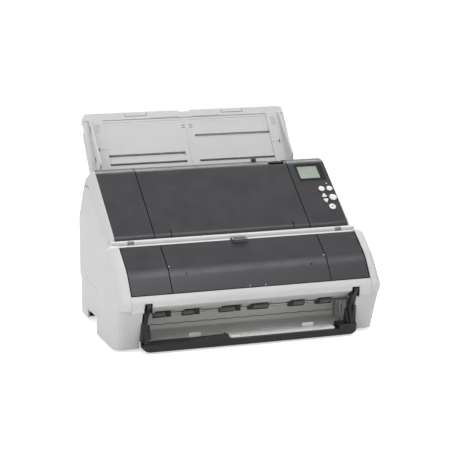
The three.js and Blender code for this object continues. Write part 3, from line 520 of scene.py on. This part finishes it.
def buttons():
    """Domed caps on the round buttons with a ring of painted shade around each, and raised arrows on the other
    two.
    """
    shade_rings = bmesh.new()
    for name in ROUND_BUTTONS:
        spot, r = button_reach(name)
        cap = bmesh.new()
        lathe(cap, [(0, -0.2), (r * 0.88, -0.2), (r * 0.88, 0.02), (r * 0.8, 0.22), (r * 0.55, 0.42),
                    (r * 0.25, 0.52), (0, 0.54)], COVER.at(*spot))
        piece(name + "_crown", cap, name, "white_plastic", 0)
        # A black ring around the button: painted shade of the gap it sits in.
        ring(shade_rings, disc(r + 1.15), disc(r + 0.42), -0.3, 0.14, COVER.at(spot.x, spot.y))
    for name, turn in ARROW_BUTTONS.items():
        spot, r = button_reach(name)
        cap = bmesh.new()
        arrow = [(-0.62 * r, -0.3 * r * turn), (0.62 * r, -0.3 * r * turn), (0, 0.62 * r * turn)]
        tapered(cap, arrow[::turn], -0.1, 0.28, COVER.at(spot.x, spot.y - 0.12 * r * turn, spot.z), 0.35)
        piece(name + "_crown", cap, name, "white_plastic", 0.08)
    piece("button_shade_rings", shade_rings, "adf", "inner_black", 0.08)


def power_mark():
    """A broken ring with a stroke in its gap, standing on the power button."""
    spot, _ = button_reach("power_button")
    gap, r, half = 40, 1.9, 0.28
    sweep = [math.radians(90 + gap + (360 - 2 * gap) * k / 20) for k in range(21)]
    arc = [((r + half) * math.cos(a), (r + half) * math.sin(a)) for a in sweep]
    arc += [((r - half) * math.cos(a), (r - half) * math.sin(a)) for a in reversed(sweep)]
    top = COVER.at(*spot)
    prisms("power_mark", "power_button", "inner_black",
           [(arc, 0.3, 0.56, top), (rect(0.5, 1.9, 0, 0, 1.5), 0.3, 0.6, top)], 0)


# ------------------------------------------------------------------ joints between the covers
def seam(bm, node, x, width, hub, sweep, depth, shift=0.0):
    """A strip along a node's section at x, moved sideways off the node's edge by a shift."""
    move = X_AXIS * shift * MM
    rows = across_skin(node, x, width, hub, *sweep)
    ribbon(bm, [(left + move, right + move, normal) for left, right, normal in rows], *depth)


def side_strip(side, points, width, x):
    """Prisms drawn along a line of (y, z) points on an upright side face, thickened downwards."""
    place = face(at(side * x, 0, 0), Y_AXIS, Z_AXIS)
    reach = (-0.5, 0.14) if side > 0 else (-0.14, 0.5)
    strips = []
    for start, end in zip(points, points[1:]):
        drop = (Vector(end) - Vector(start)).normalized().orthogonal() * width
        drop = -drop if drop.y > 0 else drop
        outline = [tuple(Vector(start) + drop), tuple(Vector(end) + drop), end, start]
        strips.append((outline, *reach, place))
    return strips


def feeder_seams():
    """Painted shade in the joints of the three upper covers, at the lower roll and in the release well."""
    node = "adf_centre_cover"
    low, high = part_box(node)
    hub = Vector((0, (low.y + high.y) / 2 + 0.01, (low.z + high.z) / 2 - 0.02))
    joints, short = bmesh.new(), bmesh.new()
    for side in LEFT_RIGHT:
        seam(joints, node, (high.x / MM - 1.2) * side, 1.2, hub, (-30, 145, 110), (-0.6, 0.12), side * 1.4)
        rows = across_skin(node, SHORT_SEAM_X * side, 0.9, hub, -30, 10, 40)
        ribbon(short, [row for row in rows if row[0].z < low.z + 16 * MM], -0.3, 0.1)
    piece("cover_seam_shade", joints, "adf", "inner_black", 0, GAP_SHADE)
    piece("cover_roll_seam_shade", short, "adf", "inner_black", 0, GAP_SHADE)
    well = bmesh.new()
    crown = across_skin(node, 106.0, 25.0, hub, 95, 150, 60)
    ribbon(well, [row for row in crown if 0.86 < row[2].z < 0.985], -0.3, 0.15)
    piece("release_well_shade", well, "adf", "inner_black", 0, GAP_SHADE)


def imprinter_seams():
    """Painted shade beside the imprinter's centre cover and at the outer ends of its side covers."""
    low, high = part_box("imprinter_centre_cover")
    hub = Vector((0, high.y, low.z))
    joints, ends = bmesh.new(), bmesh.new()
    for side in LEFT_RIGHT:
        seam(joints, "imprinter_centre_cover", (high.x / MM - 0.5) * side, 0.8, hub, (-4, 84, 50),
             (-0.4, 0.1), side * 0.25)
    piece("imprinter_seam_shade", joints, "imprinter_cover", "inner_black", 0, GAP_SHADE)
    for side, node in zip(LEFT_RIGHT, ("imprinter_left_cover", "imprinter_right_cover")):
        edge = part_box(node)[side > 0].x / MM - side * 0.6
        seam(ends, node, edge, 1.3, hub, (-6, 88, 50), (-0.4, 0.1))
    piece("imprinter_end_shade", ends, "chassis", "inner_black", 0, GAP_SHADE)


def cheek_seams():
    """Painted shade along the joint under each cheek: dark where it is level, faint down its slope."""
    slope = math.radians(CREASE_SLOPE)
    foot = Vector(CREASE_TOP) - Vector((math.cos(slope), math.sin(slope))) * CREASE_LONG
    width = millimetres("adf_right_cheek")[1].x
    dark, faint = [], []
    for side in LEFT_RIGHT:
        dark += side_strip(side, [CREASE_TOP, (CREASE_REAR, CREASE_TOP[1])], 1.0, width)
        faint += side_strip(side, [tuple(foot), CREASE_TOP], 0.9, width)
    prisms("cheek_joint_shade", "adf", "inner_black", dark, 0, GAP_SHADE)
    prisms("cheek_crease_shade", "adf", "exit_liner", faint, 0, PALE_GREY_PRINT_AND_SHADE)


def feeder_details():
    """Grip ribs on the lever and the release tab, and the lever's scale."""
    low, high = millimetres("feed_lever")
    middle = (low + high) / 2
    grip = face(at(middle.x, middle.y, high.z - 0.15), X_AXIS, Y_AXIS)
    prisms("lever_grip", "feed_lever", "black_plastic",
           [(rect(0.7, 3.2, 0.3, k * 1.9), -0.4, 0.45, grip) for k in (-1, 0, 1)], 0.12)
    low, high = millimetres("adf_release_tab")
    tab = face(at((low.x + high.x) / 2, high.y - 4.2, high.z), X_AXIS, Y_AXIS)
    prisms("release_tab_ribs", "release_tab", "black_plastic",
           [(rect(14, 0.7, 0.3, 0, k * 1.6), -0.3, 0.4, tab) for k in (-1, 0, 1)], 0.12)
    deck = face(at(0, 126.0, millimetres("adf_centre_cover")[1].z), X_AXIS, Y_AXIS)
    ticks = [(rect(0.5, 2.6 if k % 3 else 4.0, 0, 60.5 + 3.0 * k, 0), -0.3, 0.12, deck) for k in range(7)]
    prisms("lever_scale", "adf", "exit_liner", ticks, 0.05)


# ------------------------------------------------------------------ hopper
def tray_details():
    """Centre marks, unlettered size ticks, raised steps and the rims of the four slots."""
    tray = TRAY.reach("hopper_tray")[1]
    floor, top = TRAY.at(out=tray.z - 0.9), tray.y
    marks, ticks, steps = [], [], []
    for side in LEFT_RIGHT:
        for row in (0, 1):
            marks.append((rect(5.4, 1.3, 0.3, side * 6.4, top - 13.6 - row * 4.0), -0.3, 0.16, floor))
        for x, long in ((52, 5), (72, 5), (91, 7), (105, 7), (118, 5), (130, 7)):
            ticks.append((rect(0.45, long, 0, side * x, top - 12 - long / 2), -0.3, 0.1, floor))
            ticks.append((rect(2.6, 0.45, 0, side * x + 1.3, top - 12 - long), -0.3, 0.1, floor))
        steps.append((rect(144, 1.1, 0.4, side * 77.5, top - 3.4), -0.4, 0.65, floor))
        steps.append((rect(126, 0.5, 0.2, side * 68.5, top - 8.8), -0.3, 0.3, floor))
        for row in (0.27, 0.5, 0.73, 0.92):
            steps.append((rect(0.5, 44, 0, side * (12 + 140 * row), top - 50), -0.3, 0.12, floor))
    steps.append((rect(122, 0.5, 0, 76, top - 58), -0.3, 0.12, floor))
    prisms("tray_centre_marks", "chassis", "roller_rubber", marks, 0.05)
    prisms("tray_size_ticks", "chassis", "exit_liner", ticks, 0, PALE_GREY_PRINT_AND_SHADE)
    prisms("tray_steps", "chassis", "light_shell", steps, 0.1)
    rims = bmesh.new()
    for side, up, w in ((-1, -15, 5.4), (-1, -29.5, 3.4), (1, 15, 4.4), (1, -29.5, 3.4)):
        x = side * 83.2
        ring(rims, rect(147.3, w + 1.7, 0.9, x, up), rect(145.6, w + 0.1, 0.4, x, up), -0.3, 0.25, floor)
    piece("tray_slot_rims", rims, "chassis", "light_shell", 0.12)


def lip_details():
    """The two latch tabs with painted shade around them, and the seam beside the finger notch."""
    top = TRAY.reach("hopper_tray")[1].y
    reach = TRAY.reach("chute_extension")[1]
    up, lip = (top + reach.y) / 2 + 1.6, TRAY.at(out=reach.z)
    shadows, tabs = [], []
    for x in (-81, 80):
        for side in LEFT_RIGHT:
            shadows.append((rect(0.7, 6.2, 0.2, x + side * 17.6, up + 0.6), -0.3, 0.14, lip))
        shadows.append((rect(34.6, 0.5, 0.1, x, up - 2.3), -0.3, 0.14, lip))
        tabs.append((rect(33.6, 4.6, 0.8, x, up + 0.4), -0.2, 0.6, lip))
    prisms("lip_tab_shade", "chute_extension", "roller_rubber", shadows, 0)
    prisms("lip_tabs", "chute_extension", "light_shell", tabs, 0.3)
    line = [(rect(46, 0.5, 0.1, side * 34.5, top + 1.6), -0.3, 0.1, lip) for side in LEFT_RIGHT]
    prisms("lip_seam", "chute_extension", "roller_rubber", line, 0)


def guide_details():
    """On each side guide: a ribbed grip with painted shade on its floor, small slots in its foot and wall, and a
    foot pad.
    """
    floor = TRAY.at(out=2.3)
    for side, body, node in ((-1, "guide_left", "left_paper_guide"), (1, "guide_right", "right_paper_guide")):
        low, high = TRAY.reach(node)
        foot = high.x if side > 0 else low.x
        grip, inner = high.y - 13.5, foot - side * 13
        rim = bmesh.new()
        ring(rim, rect(8.6, 14.2, 1.0, inner, grip), rect(7.0, 12.6, 0.7, inner, grip), -0.4, 0.45, floor)
        piece(body + "_grip_rim", rim, body, "light_shell", 0.15)
        # The grip's floor is painted a darker grey as shade in its recess.
        prisms(body + "_grip_floor_shade", body, "exit_liner",
               [(rect(7.1, 12.7, 0.6, inner, grip), -0.4, 0.08, floor)], 0, PALE_GREY_PRINT_AND_SHADE)
        prisms(body + "_grip_ribs", body, "light_shell",
               [(rect(6.2, 0.8, 0.2, inner, grip - 4.5 + 2.2 * k), -0.1, 0.4, floor) for k in range(5)], 0.1)
        prisms(body + "_slots", body, "inner_black",
               [(rect(w, h, r, foot - side * away, up), -0.3, 0.1, floor) for w, h, r, away, up in (
                   (1.8, 1.2, 0.2, 20.2, -3.6), (2.0, 1.2, 0.2, 14.2, -3.8), (1.8, 5.4, 0.4, 9.6, -3.2))], 0)
        wall = face(TRAY.at(foot).translation, TRAY.up * -side, TRAY.out)
        prisms(body + "_wall_slots", body, "inner_black",
               [(rect(w, h, 0.5, side * along, out), -0.3, 0.1, wall) for w, h, along, out in (
                   (12.0, 1.6, -31, 6.2), (8.0, 2.6, 22, 6.0), (3.0, 4.2, 44, 5.0))], 0)
        prisms(body + "_foot_pad", body, "exit_liner",
               [(rect(7.0, 5.0, 0.6, foot - side * 9.5, -70.5), -0.3, 0.5, floor)], 0.12)


# ------------------------------------------------------------------ imprinter and exit
def front(node, x, z):
    """A working frame on a node's front skin at a place in the millimetres of at()."""
    return on_skin(node, at(x, -300, z), (0, 1, 0))


def imprinter_details():
    """Apron plugs, and the clips, nicks and tab ribs of the centre cover, with painted shade for the pip under
    each short seam and for its finger mark.
    """
    x, y, z = APRON_SLOT
    plugs = [(rect(9.8, 6.7, 0.5), -0.2, 3.2, face(at(side * x, y, z), X_AXIS, Z_AXIS))
             for side in LEFT_RIGHT]
    prisms("apron_slot_plugs", "chassis", "exit_liner", plugs, 0.2, PLUG)
    cover = "imprinter_centre_cover"
    # The pip under each short seam and the finger mark are painted shade, in the gap_shade material.
    pip_shade = [(disc(1.25, steps=16), -0.3, 0.12, front(cover, side * SHORT_SEAM_X, 112))
            for side in LEFT_RIGHT]
    prisms("cover_pip_shade", "imprinter_cover", "inner_black", pip_shade, 0, GAP_SHADE)
    clips = [(rect(2.7, 1.1, 0.3), -0.3, 0.5, front(cover, side * 119.4, 121.8)) for side in LEFT_RIGHT]
    prisms("cover_clips", "imprinter_cover", "light_shell", clips, 0.2)
    nicks = [(rect(1.6, 0.8, 0.2), -0.3, 0.25, front(cover, x, 90.4)) for x in (-4.5, 19)]
    prisms("cover_nicks", "imprinter_cover", "exit_liner", nicks, 0.08)
    prisms("cover_finger_mark_shade", "imprinter_cover", "inner_black",
           [([(-1.6, 0.7), (0, -0.9), (1.6, 0.7)], -0.3, 0.14, front(cover, 0, 139.2))], 0)
    tab = face(at(0, -8.4, millimetres(cover)[1].z - 0.35), X_AXIS, Vector((0, 1, 0.155)))
    prisms("cover_tab_ribs", "imprinter_cover", "dark_shell",
           [(rect(17, 0.8, 0.3, 0, -1.6 * k), -0.5, 0.35, tab) for k in range(3)], 0.15)


def hood_details():
    """Painted shade on the side walls of each hook hole, and a light upper rim for each."""
    hole = [(-76.4, 61.5), (-62.5, 61.5), (-62.5, 77.3), (-76.4, 77.3)]
    # Dark plates on each hole's side walls: painted shade inside the hook hole.
    wall_shade = [(hole, -0.25, 0.25, face(at(side * (HOOK_X + off), 0, 0), Y_AXIS, Z_AXIS))
              for side in LEFT_RIGHT for off in (-5.6, 5.6)]
    prisms("hook_hole_wall_shade", "chassis", "inner_black", wall_shade, 0)
    rims = [(rect(11.4, 0.9, 0.2), -0.3, 0.5, front("imprinter_front_hood", side * HOOK_X, 78.6))
            for side in LEFT_RIGHT]
    prisms("hook_hole_rims", "chassis", "light_shell", rims, 0.15)


def exit_walls():
    """The wavy step at the back wall's foot, its pads, and the slots and strips of the side walls."""
    half = millimetres("exit_floor")[1].x - 1.0
    back = face(at(0, EXIT_BACK_Y, 0), X_AXIS, Z_AXIS)
    crest = []
    for k in range(97):
        x = -half + 2 * half * k / 96
        crest.append((x, 19.2 + 0.5 * math.sin(x / 4.2)))
    prisms("exit_wave_step", "chassis", "exit_liner",
           [([(-half, 14.6), (half, 14.6)] + crest[::-1], -0.3, 0.9, back)], 0)
    rising = [(x, z + 0.9) for x, z in crest]
    prisms("exit_wave_shadow", "chassis", "roller_rubber",
           [([(-half, 18.4), (half, 18.4)] + rising[::-1], -0.3, 0.25, back)], 0)
    prisms("exit_wall_pads", "chassis", "exit_liner",
           [(rect(11, 22, 1.5, x, 40), -0.3, 0.25, back) for x in (-118, 79)], 0.12)
    slots, strips = [], []
    for side in LEFT_RIGHT:
        wall = face(at(side * EXIT_SIDE_X, 0, 0), Y_AXIS * -side, Z_AXIS)
        slots.append((rect(1.8, 34, 0.6, -side * 1.5, 35), -0.3, 0.12, wall))
        slots.append((rect(1.6, 12, 0.5, side * 12.0, 30), -0.3, 0.12, wall))
        strips.append((rect(5.4, 36, 0.8, side * 3.4, 36), -0.3, 0.5, wall))
        strips.append((rect(4.2, 22, 0.8, -side * 6.6, 44), -0.3, 0.4, wall))
    prisms("exit_wall_slots", "chassis", "inner_black", slots, 0)
    prisms("exit_wall_strips", "chassis", "exit_liner", strips, 0.15)


def exit_rollers():
    """Hubs, tyre bands, holder blocks and shaft sleeves of the six exit rollers; the black holder blocks are also
    painted shade in the hood's notches.
    """
    low, high = millimetres("exit_roller_shaft")
    axis = (low + high) / 2
    rollers = [(side * x, side, w) for x, w in EXIT_ROLLERS for side in LEFT_RIGHT]
    hubs, bands, sleeves = bmesh.new(), bmesh.new(), bmesh.new()
    for x, side, w in rollers:
        lathe(hubs, [(1.45, -0.6), (2.9, -0.6), (2.9, 0.6), (1.45, 0.6), (1.45, -0.6)],
              face(at(x + side * (w / 2 + 0.6), axis.y, axis.z), Y_AXIS, Z_AXIS), 20)
        for k in (-1, 0, 1):
            lathe(bands, [(3.7, -0.45), (3.96, -0.35), (3.96, 0.35), (3.7, 0.45), (3.7, -0.45)],
                  face(at(x + k * w / 3.4, axis.y, axis.z), Y_AXIS, Z_AXIS), 28)
    piece("exit_roller_hubs", hubs, "exit_rollers", "black_plastic", 0)
    piece("exit_roller_bands", bands, "exit_rollers", "roller_rubber", 0)
    upright = face(at(0, axis.y, 0), X_AXIS, Z_AXIS)
    # Black holder blocks beside, above and under each roller, which are also painted shade in the hood's notches
    # around it.
    holder_and_shade_blocks = []
    for x, side, w in rollers:
        holder_and_shade_blocks += [
            (rect(7.2, 8.6, 0.6, x - side * (w / 2 + 4.5), axis.z + 0.4), -4.0, 4.2, upright),
            (rect(w + 1.0, 0.7, 0, x, axis.z - 4.7), -3.4, 0.6, upright),
            (rect(w + 9.0, 0.8, 0, x - side * 4.0, axis.z + 5.4), -6.0, 4.0, upright)]
    prisms("exit_roller_holder_and_shade_blocks", "chassis", "inner_black", holder_and_shade_blocks, 0.15)
    ends = [(-164, 0), *sorted((x, w) for x, _, w in rollers), (164, 0)]
    for (start, first), (end, second) in zip(ends, ends[1:]):
        low_x, high_x = start + first / 2 + 1.4, end - second / 2 - 1.4
        lathe(sleeves, [(1.42, low_x), (1.7, low_x), (1.7, high_x), (1.42, high_x), (1.42, low_x)],
              face(at(0, axis.y, axis.z), Y_AXIS, Z_AXIS), 24)
    piece("exit_shaft_sleeves", sleeves, "exit_rollers", "steel", 0)


def stacker_details():
    """Bosses inside the stacker's arms, lines and tabs on its pull-out sheet, and the stopper's ribs."""
    wedge = [(-63, 20.2), (-48.5, 20.2), (-52.5, 40), (-55.5, 40)]
    bosses = [(wedge, low, high, face(at(x, 0, 0), Y_AXIS, Z_AXIS))
              for x, low, high in ((-155.6, -0.1, 4.4), (155.6, -4.4, 0.1))]
    prisms("stacker_arm_bosses", "stacker", "black_plastic", bosses, 0.6)
    low, high = millimetres("stacker_extension")
    sheet = face(at(0, low.y, high.z), X_AXIS, Y_AXIS)
    lines = [(rect(w, h, 0, x, y), -0.2, 0.1, sheet) for w, h, x, y in (
        (0.5, 5.5, low.x + 18, 5.0), (16, 0.5, low.x + 26, 7.7), (0.5, 8.0, low.x + 34, 11.6),
        (16, 0.5, high.x - 12, 6.5), (0.5, 5.5, high.x - 20, 9.2))]
    prisms("extension_seams", "stacker_extension", "roller_rubber", lines, 0)
    tabs = [(rect(13, 3.6, 0.8, x, 3.2), -0.2, 0.6, sheet) for x in (low.x + 9, high.x - 10)]
    prisms("extension_tabs", "stacker_extension", "white_plastic", tabs, 0.25)
    low, high = millimetres("paper_stopper")
    flap = face(at((low.x + high.x) / 2, (low.y + high.y) / 2 - 1.0, high.z - 0.55), X_AXIS, Y_AXIS)
    prisms("stopper_ribs", "paper_stopper", "white_plastic",
           [(rect(0.9, 9, 0.3, k * 11, -1.0), -0.4, 0.25, flap) for k in range(-2, 3)], 0.1)


# ------------------------------------------------------------------ sides, back and underside
def rear_details():
    """Screws, rims, a blank plate, the lock slot and the two sockets of the rear cover."""
    surface = millimetres("rear_cover")[1].y
    back = face(at(0, surface, 0), -X_AXIS, Z_AXIS)
    screws, rims = bmesh.new(), bmesh.new()
    for x, z in REAR_SCREWS:
        screw_head(screws, face(at(x, surface + 0.3, z), -X_AXIS, Z_AXIS), 3.0, 1.1)
        ring(rims, disc(4.4), disc(3.5), -0.3, 0.35, face(at(x, surface, z), -X_AXIS, Z_AXIS))
    piece("rear_screws", screws, "chassis", "steel", 0)
    ring(rims, rect(66, 54, 2.0, 90, 112), rect(64, 52, 1.6, 90, 112), -0.3, 0.4, back)
    ring(rims, rect(20.5, 14.5, 1.0, *USB), rect(18.4, 12.4, 0.7, *USB), -0.3, 0.5, back)
    ring(rims, rect(17.5, 12.5, 1.0, *POWER), rect(15.4, 10.4, 0.7, *POWER), -0.3, 0.5, back)
    piece("rear_rims", rims, "chassis", "light_shell", 0.15)
    prisms("rear_blank_plate", "chassis", "exit_liner", [(rect(52, 26, 1.2, 0, 108), -0.3, 0.12, back)], 0)
    prisms("lock_slot_plate", "chassis", "steel", [(rect(9, 5, 1.2, *LOCK), -0.3, 0.3, back)], 0.1)
    prisms("lock_slot", "chassis", "inner_black", [(rect(6.6, 2.6, 0.6, *LOCK), -0.2, 0.36, back)], 0)
    tip = millimetres("connector_block")[1].y
    plug = face(at(0, tip, 0), -X_AXIS, Z_AXIS)
    shell, jack = bmesh.new(), bmesh.new()
    ring(shell, rect(12.4, 10.4, 1.0, *USB), rect(8.6, 7.8, 0.6, *USB), -0.4, 0.35, plug)
    piece("usb_socket_shell", shell, "chassis", "steel", 0.1)
    prisms("usb_socket_tongue", "chassis", "white_plastic",
           [(rect(5.6, 3.6, 0.4, USB[0], USB[1] + 0.2), -0.4, 0.2, plug)], 0.1)
    socket = face(at(-POWER[0], tip, POWER[1]), -X_AXIS, Z_AXIS)
    ring(jack, disc(3.3), disc(2.5), -0.4, 0.3, socket)
    lathe(jack, [(0, -0.4), (0.8, -0.4), (0.8, 0.1), (0.5, 0.35), (0, 0.4)], socket, 20)
    piece("power_jack", jack, "chassis", "steel", 0)


def side_details():
    """Screws low on the side covers, and the ribs of the hand grips in the base."""
    screws = bmesh.new()
    for side, node in zip(LEFT_RIGHT, ("left_side_cover", "right_side_cover")):
        outer = millimetres(node)[side > 0].x
        for y in (40, 150):
            screw_head(screws, face(at(outer - side * 0.2, y, 70), Y_AXIS * side, Z_AXIS), 2.4, 0.8)
    piece("side_screws", screws, "chassis", "steel", 0)
    grips = []
    for side in LEFT_RIGHT:
        wall = face(at(side * BASE_SIDE_X, 0, 0), Y_AXIS * side, Z_AXIS)
        grips += [(rect(58, 1.0, 0.4, side * 122, 22.5 + 2.6 * k), -0.2, 0.5, wall) for k in range(3)]
    prisms("base_hand_grips", "chassis", "light_shell", grips, 0.2)


def underside_details():
    """Screws and stiffening ribs under the bottom pan."""
    plate = millimetres("bottom_pan")[0].z
    screws = bmesh.new()
    for x in (-160, 0, 160):
        for y in (52, 176):
            screw_head(screws, face(at(x, y, plate), X_AXIS, -Y_AXIS), 2.8, 1.0)
    piece("pan_screws", screws, "chassis", "steel", 0)
    under = face(at(0, 0, plate), X_AXIS, -Y_AXIS)
    prisms("pan_ribs", "chassis", "steel",
           [(rect(2.0, 110, 0.5, x, -108), -0.2, 1.6, under) for x in (-110, -55, 55, 110)], 0.3)


# ------------------------------------------------------------------ inside
def feed_details():
    """Tyre bands and white collars on the pick, feed and brake rollers."""
    for joint, body, r in (("pick_spin", "pick_roller", 11), ("feed_spin", "feed_roller", 9),
                           ("brake_spin", "brake_roller", 9)):
        centre = joint_point(joint)
        bands, collars = bmesh.new(), bmesh.new()
        for side in LEFT_RIGHT:
            for k in range(-3, 4):
                spot = Vector(((side * 21 + k * 2.6) * MM, centre.y, centre.z))
                lathe(bands, [(r - 0.5, -0.7), (r + 0.1, -0.45), (r + 0.1, 0.45), (r - 0.5, 0.7),
                              (r - 0.5, -0.7)], face(spot, Y_AXIS, Z_AXIS), 40)
            spot = Vector((side * 34.6 * MM, centre.y, centre.z))
            lathe(collars, [(3.05, -2.2), (5.4, -2.2), (5.6, -1.8), (5.6, 1.8), (5.4, 2.2), (3.05, 2.2),
                            (3.05, -2.2)], face(spot, Y_AXIS, Z_AXIS), 24)
        piece(body + "_tyre_bands", bands, body, "roller_rubber", 0)
        piece(body + "_collars", collars, body, "white_plastic", 0)


def board_details():
    """Chips, sockets and capacitors on the main board."""
    height = millimetres("main_board")[1].z
    top = face(at(0, 0, height), X_AXIS, Y_AXIS)
    chips = [(rect(w, h, 0.4, x, y), -0.1, t, top) for x, y, w, h, t in (
        (-60, 160, 22, 22, 1.4), (-20, 172, 14, 14, 1.2), (-22, 148, 12, 18, 1.1), (20, 165, 16, 10, 1.3),
        (44, 150, 10, 10, 1.0), (-96, 150, 9, 16, 1.1))]
    prisms("board_chips", "chassis", "inner_black", chips, 0.15)
    sockets = [(rect(w, h, 0.5, x, y), -0.1, 5.5, top) for x, y, w, h in (
        (-108, 176, 8, 22), (76, 184, 30, 7), (84, 140, 18, 6), (-40, 138, 40, 5))]
    prisms("board_sockets", "chassis", "white_plastic", sockets, 0.3)
    cans = bmesh.new()
    for x, y, r, h in ((64, 168, 4, 9), (54, 176, 4, 9), (-84, 172, 3, 7), (2, 180, 3, 6),
                       (-78, 140, 2.5, 6)):
        can = [(0, -0.1), (r, -0.1), (r, 0.6), (r * 0.93, 0.9), (r, 1.2), (r, h - 0.4), (r - 0.4, h), (0, h)]
        lathe(cans, can, face(at(x, y, height), X_AXIS, Y_AXIS), 24)
    piece("board_capacitors", cans, "chassis", "steel", 0)


for build in (bezel, buttons, power_mark, feeder_seams, imprinter_seams, cheek_seams, feeder_details,
              tray_details, lip_details, guide_details, imprinter_details, hood_details, exit_walls,
              exit_rollers, stacker_details, rear_details, side_details, underside_details, feed_details,
              board_details):
    build()


# ------------------------------------------------------------------ studio
def area_light(name, place, target, size, power):
    """A soft rectangular lamp at a place, turned towards a target."""
    data = bpy.data.lights.new(name, "AREA")
    data.shape = "RECTANGLE"
    data.size, data.size_y = size
    data.energy = power
    lamp = bpy.data.objects.new(name, data)
    lamp.location = place
    lamp.rotation_euler = (Vector(target) - Vector(place)).to_track_quat("-Z", "Y").to_euler()
    bpy.context.scene.collection.objects.link(lamp)


def studio():
    """A seamless pale floor under a sky that dims upwards, with soft lights to the left, above and behind."""
    middle = (Vector(CAD_BOX[0]) + Vector(CAD_BOX[1])) / 2
    mesh = bpy.data.meshes.new("floor")
    bm = bmesh.new()
    bmesh.ops.create_grid(bm, x_segments=1, y_segments=1, size=60)
    bm.to_mesh(mesh)
    floor = bpy.data.objects.new("floor", mesh)
    bpy.context.scene.collection.objects.link(floor)
    floor.location.z = DESK_Z - 0.2 * MM
    material, tree = new_material("floor_paper")
    shader = add(tree, "ShaderNodeBsdfPrincipled", {
        "Base Color": (0.86, 0.86, 0.86, 1), "Roughness": 0.85, "Emission Color": (1, 1, 1, 1)})
    path = add(tree, "ShaderNodeLightPath")
    seen = add(tree, "ShaderNodeMath", operation="MULTIPLY")
    seen.inputs[1].default_value = 0.62
    tree.links.new(path.outputs["Is Camera Ray"], seen.inputs[0])
    tree.links.new(seen.outputs[0], shader.inputs["Emission Strength"])
    out = add(tree, "ShaderNodeOutputMaterial")
    tree.links.new(shader.outputs[0], out.inputs["Surface"])
    floor.data.materials.append(material)
    world = bpy.data.worlds.new("studio")
    bpy.context.scene.world = world
    world.use_nodes = True
    tree = world.node_tree
    coords = add(tree, "ShaderNodeTexCoord")
    split = add(tree, "ShaderNodeSeparateXYZ")
    tree.links.new(coords.outputs["Generated"], split.inputs[0])
    glow = ranged(tree, split.outputs["Z"], 0.78, 0.3, 0.05, 0.95)
    tree.links.new(glow, tree.nodes["Background"].inputs["Strength"])
    tree.nodes["Background"].inputs["Color"].default_value = (1, 1, 1, 1)
    area_light("key", (-1.6, -1.0, 1.4), middle, (1.4, 1.2), 13)
    area_light("front", (0.15, -0.95, 1.85), middle, (1.7, 0.3), 17)
    area_light("low", (-0.4, -2.2, 0.45), middle, (1.2, 0.5), 3)
    area_light("back", (0.1, 0.9, 1.15), middle, (2.2, 0.4), 20)
    bpy.context.scene.view_settings.view_transform = "Standard"


def camera():
    """Long lens, about 19 degrees to the machine's left and 11.5 degrees above it."""
    azimuth, elevation = math.radians(19.12), math.radians(11.48)
    back = Vector((-math.sin(azimuth) * math.cos(elevation), -math.cos(azimuth) * math.cos(elevation),
                   math.sin(elevation)))
    right = Z_AXIS.cross(back).normalized()
    up = back.cross(right)
    apron = Vector((0, APRON_Y, 0.110))
    distance, slide, rise = 2.3893, -0.0115, 0.0487
    place = apron + back * distance + right * slide + up * rise
    data = bpy.data.cameras.new("camera")
    data.sensor_width = 36
    data.lens = 126.9
    eye = bpy.data.objects.new("camera", data)
    eye.matrix_world = Matrix.Translation(place) @ Matrix((right, up, back)).transposed().to_4x4()
    bpy.context.scene.collection.objects.link(eye)
    bpy.context.scene.camera = eye


studio()
camera()
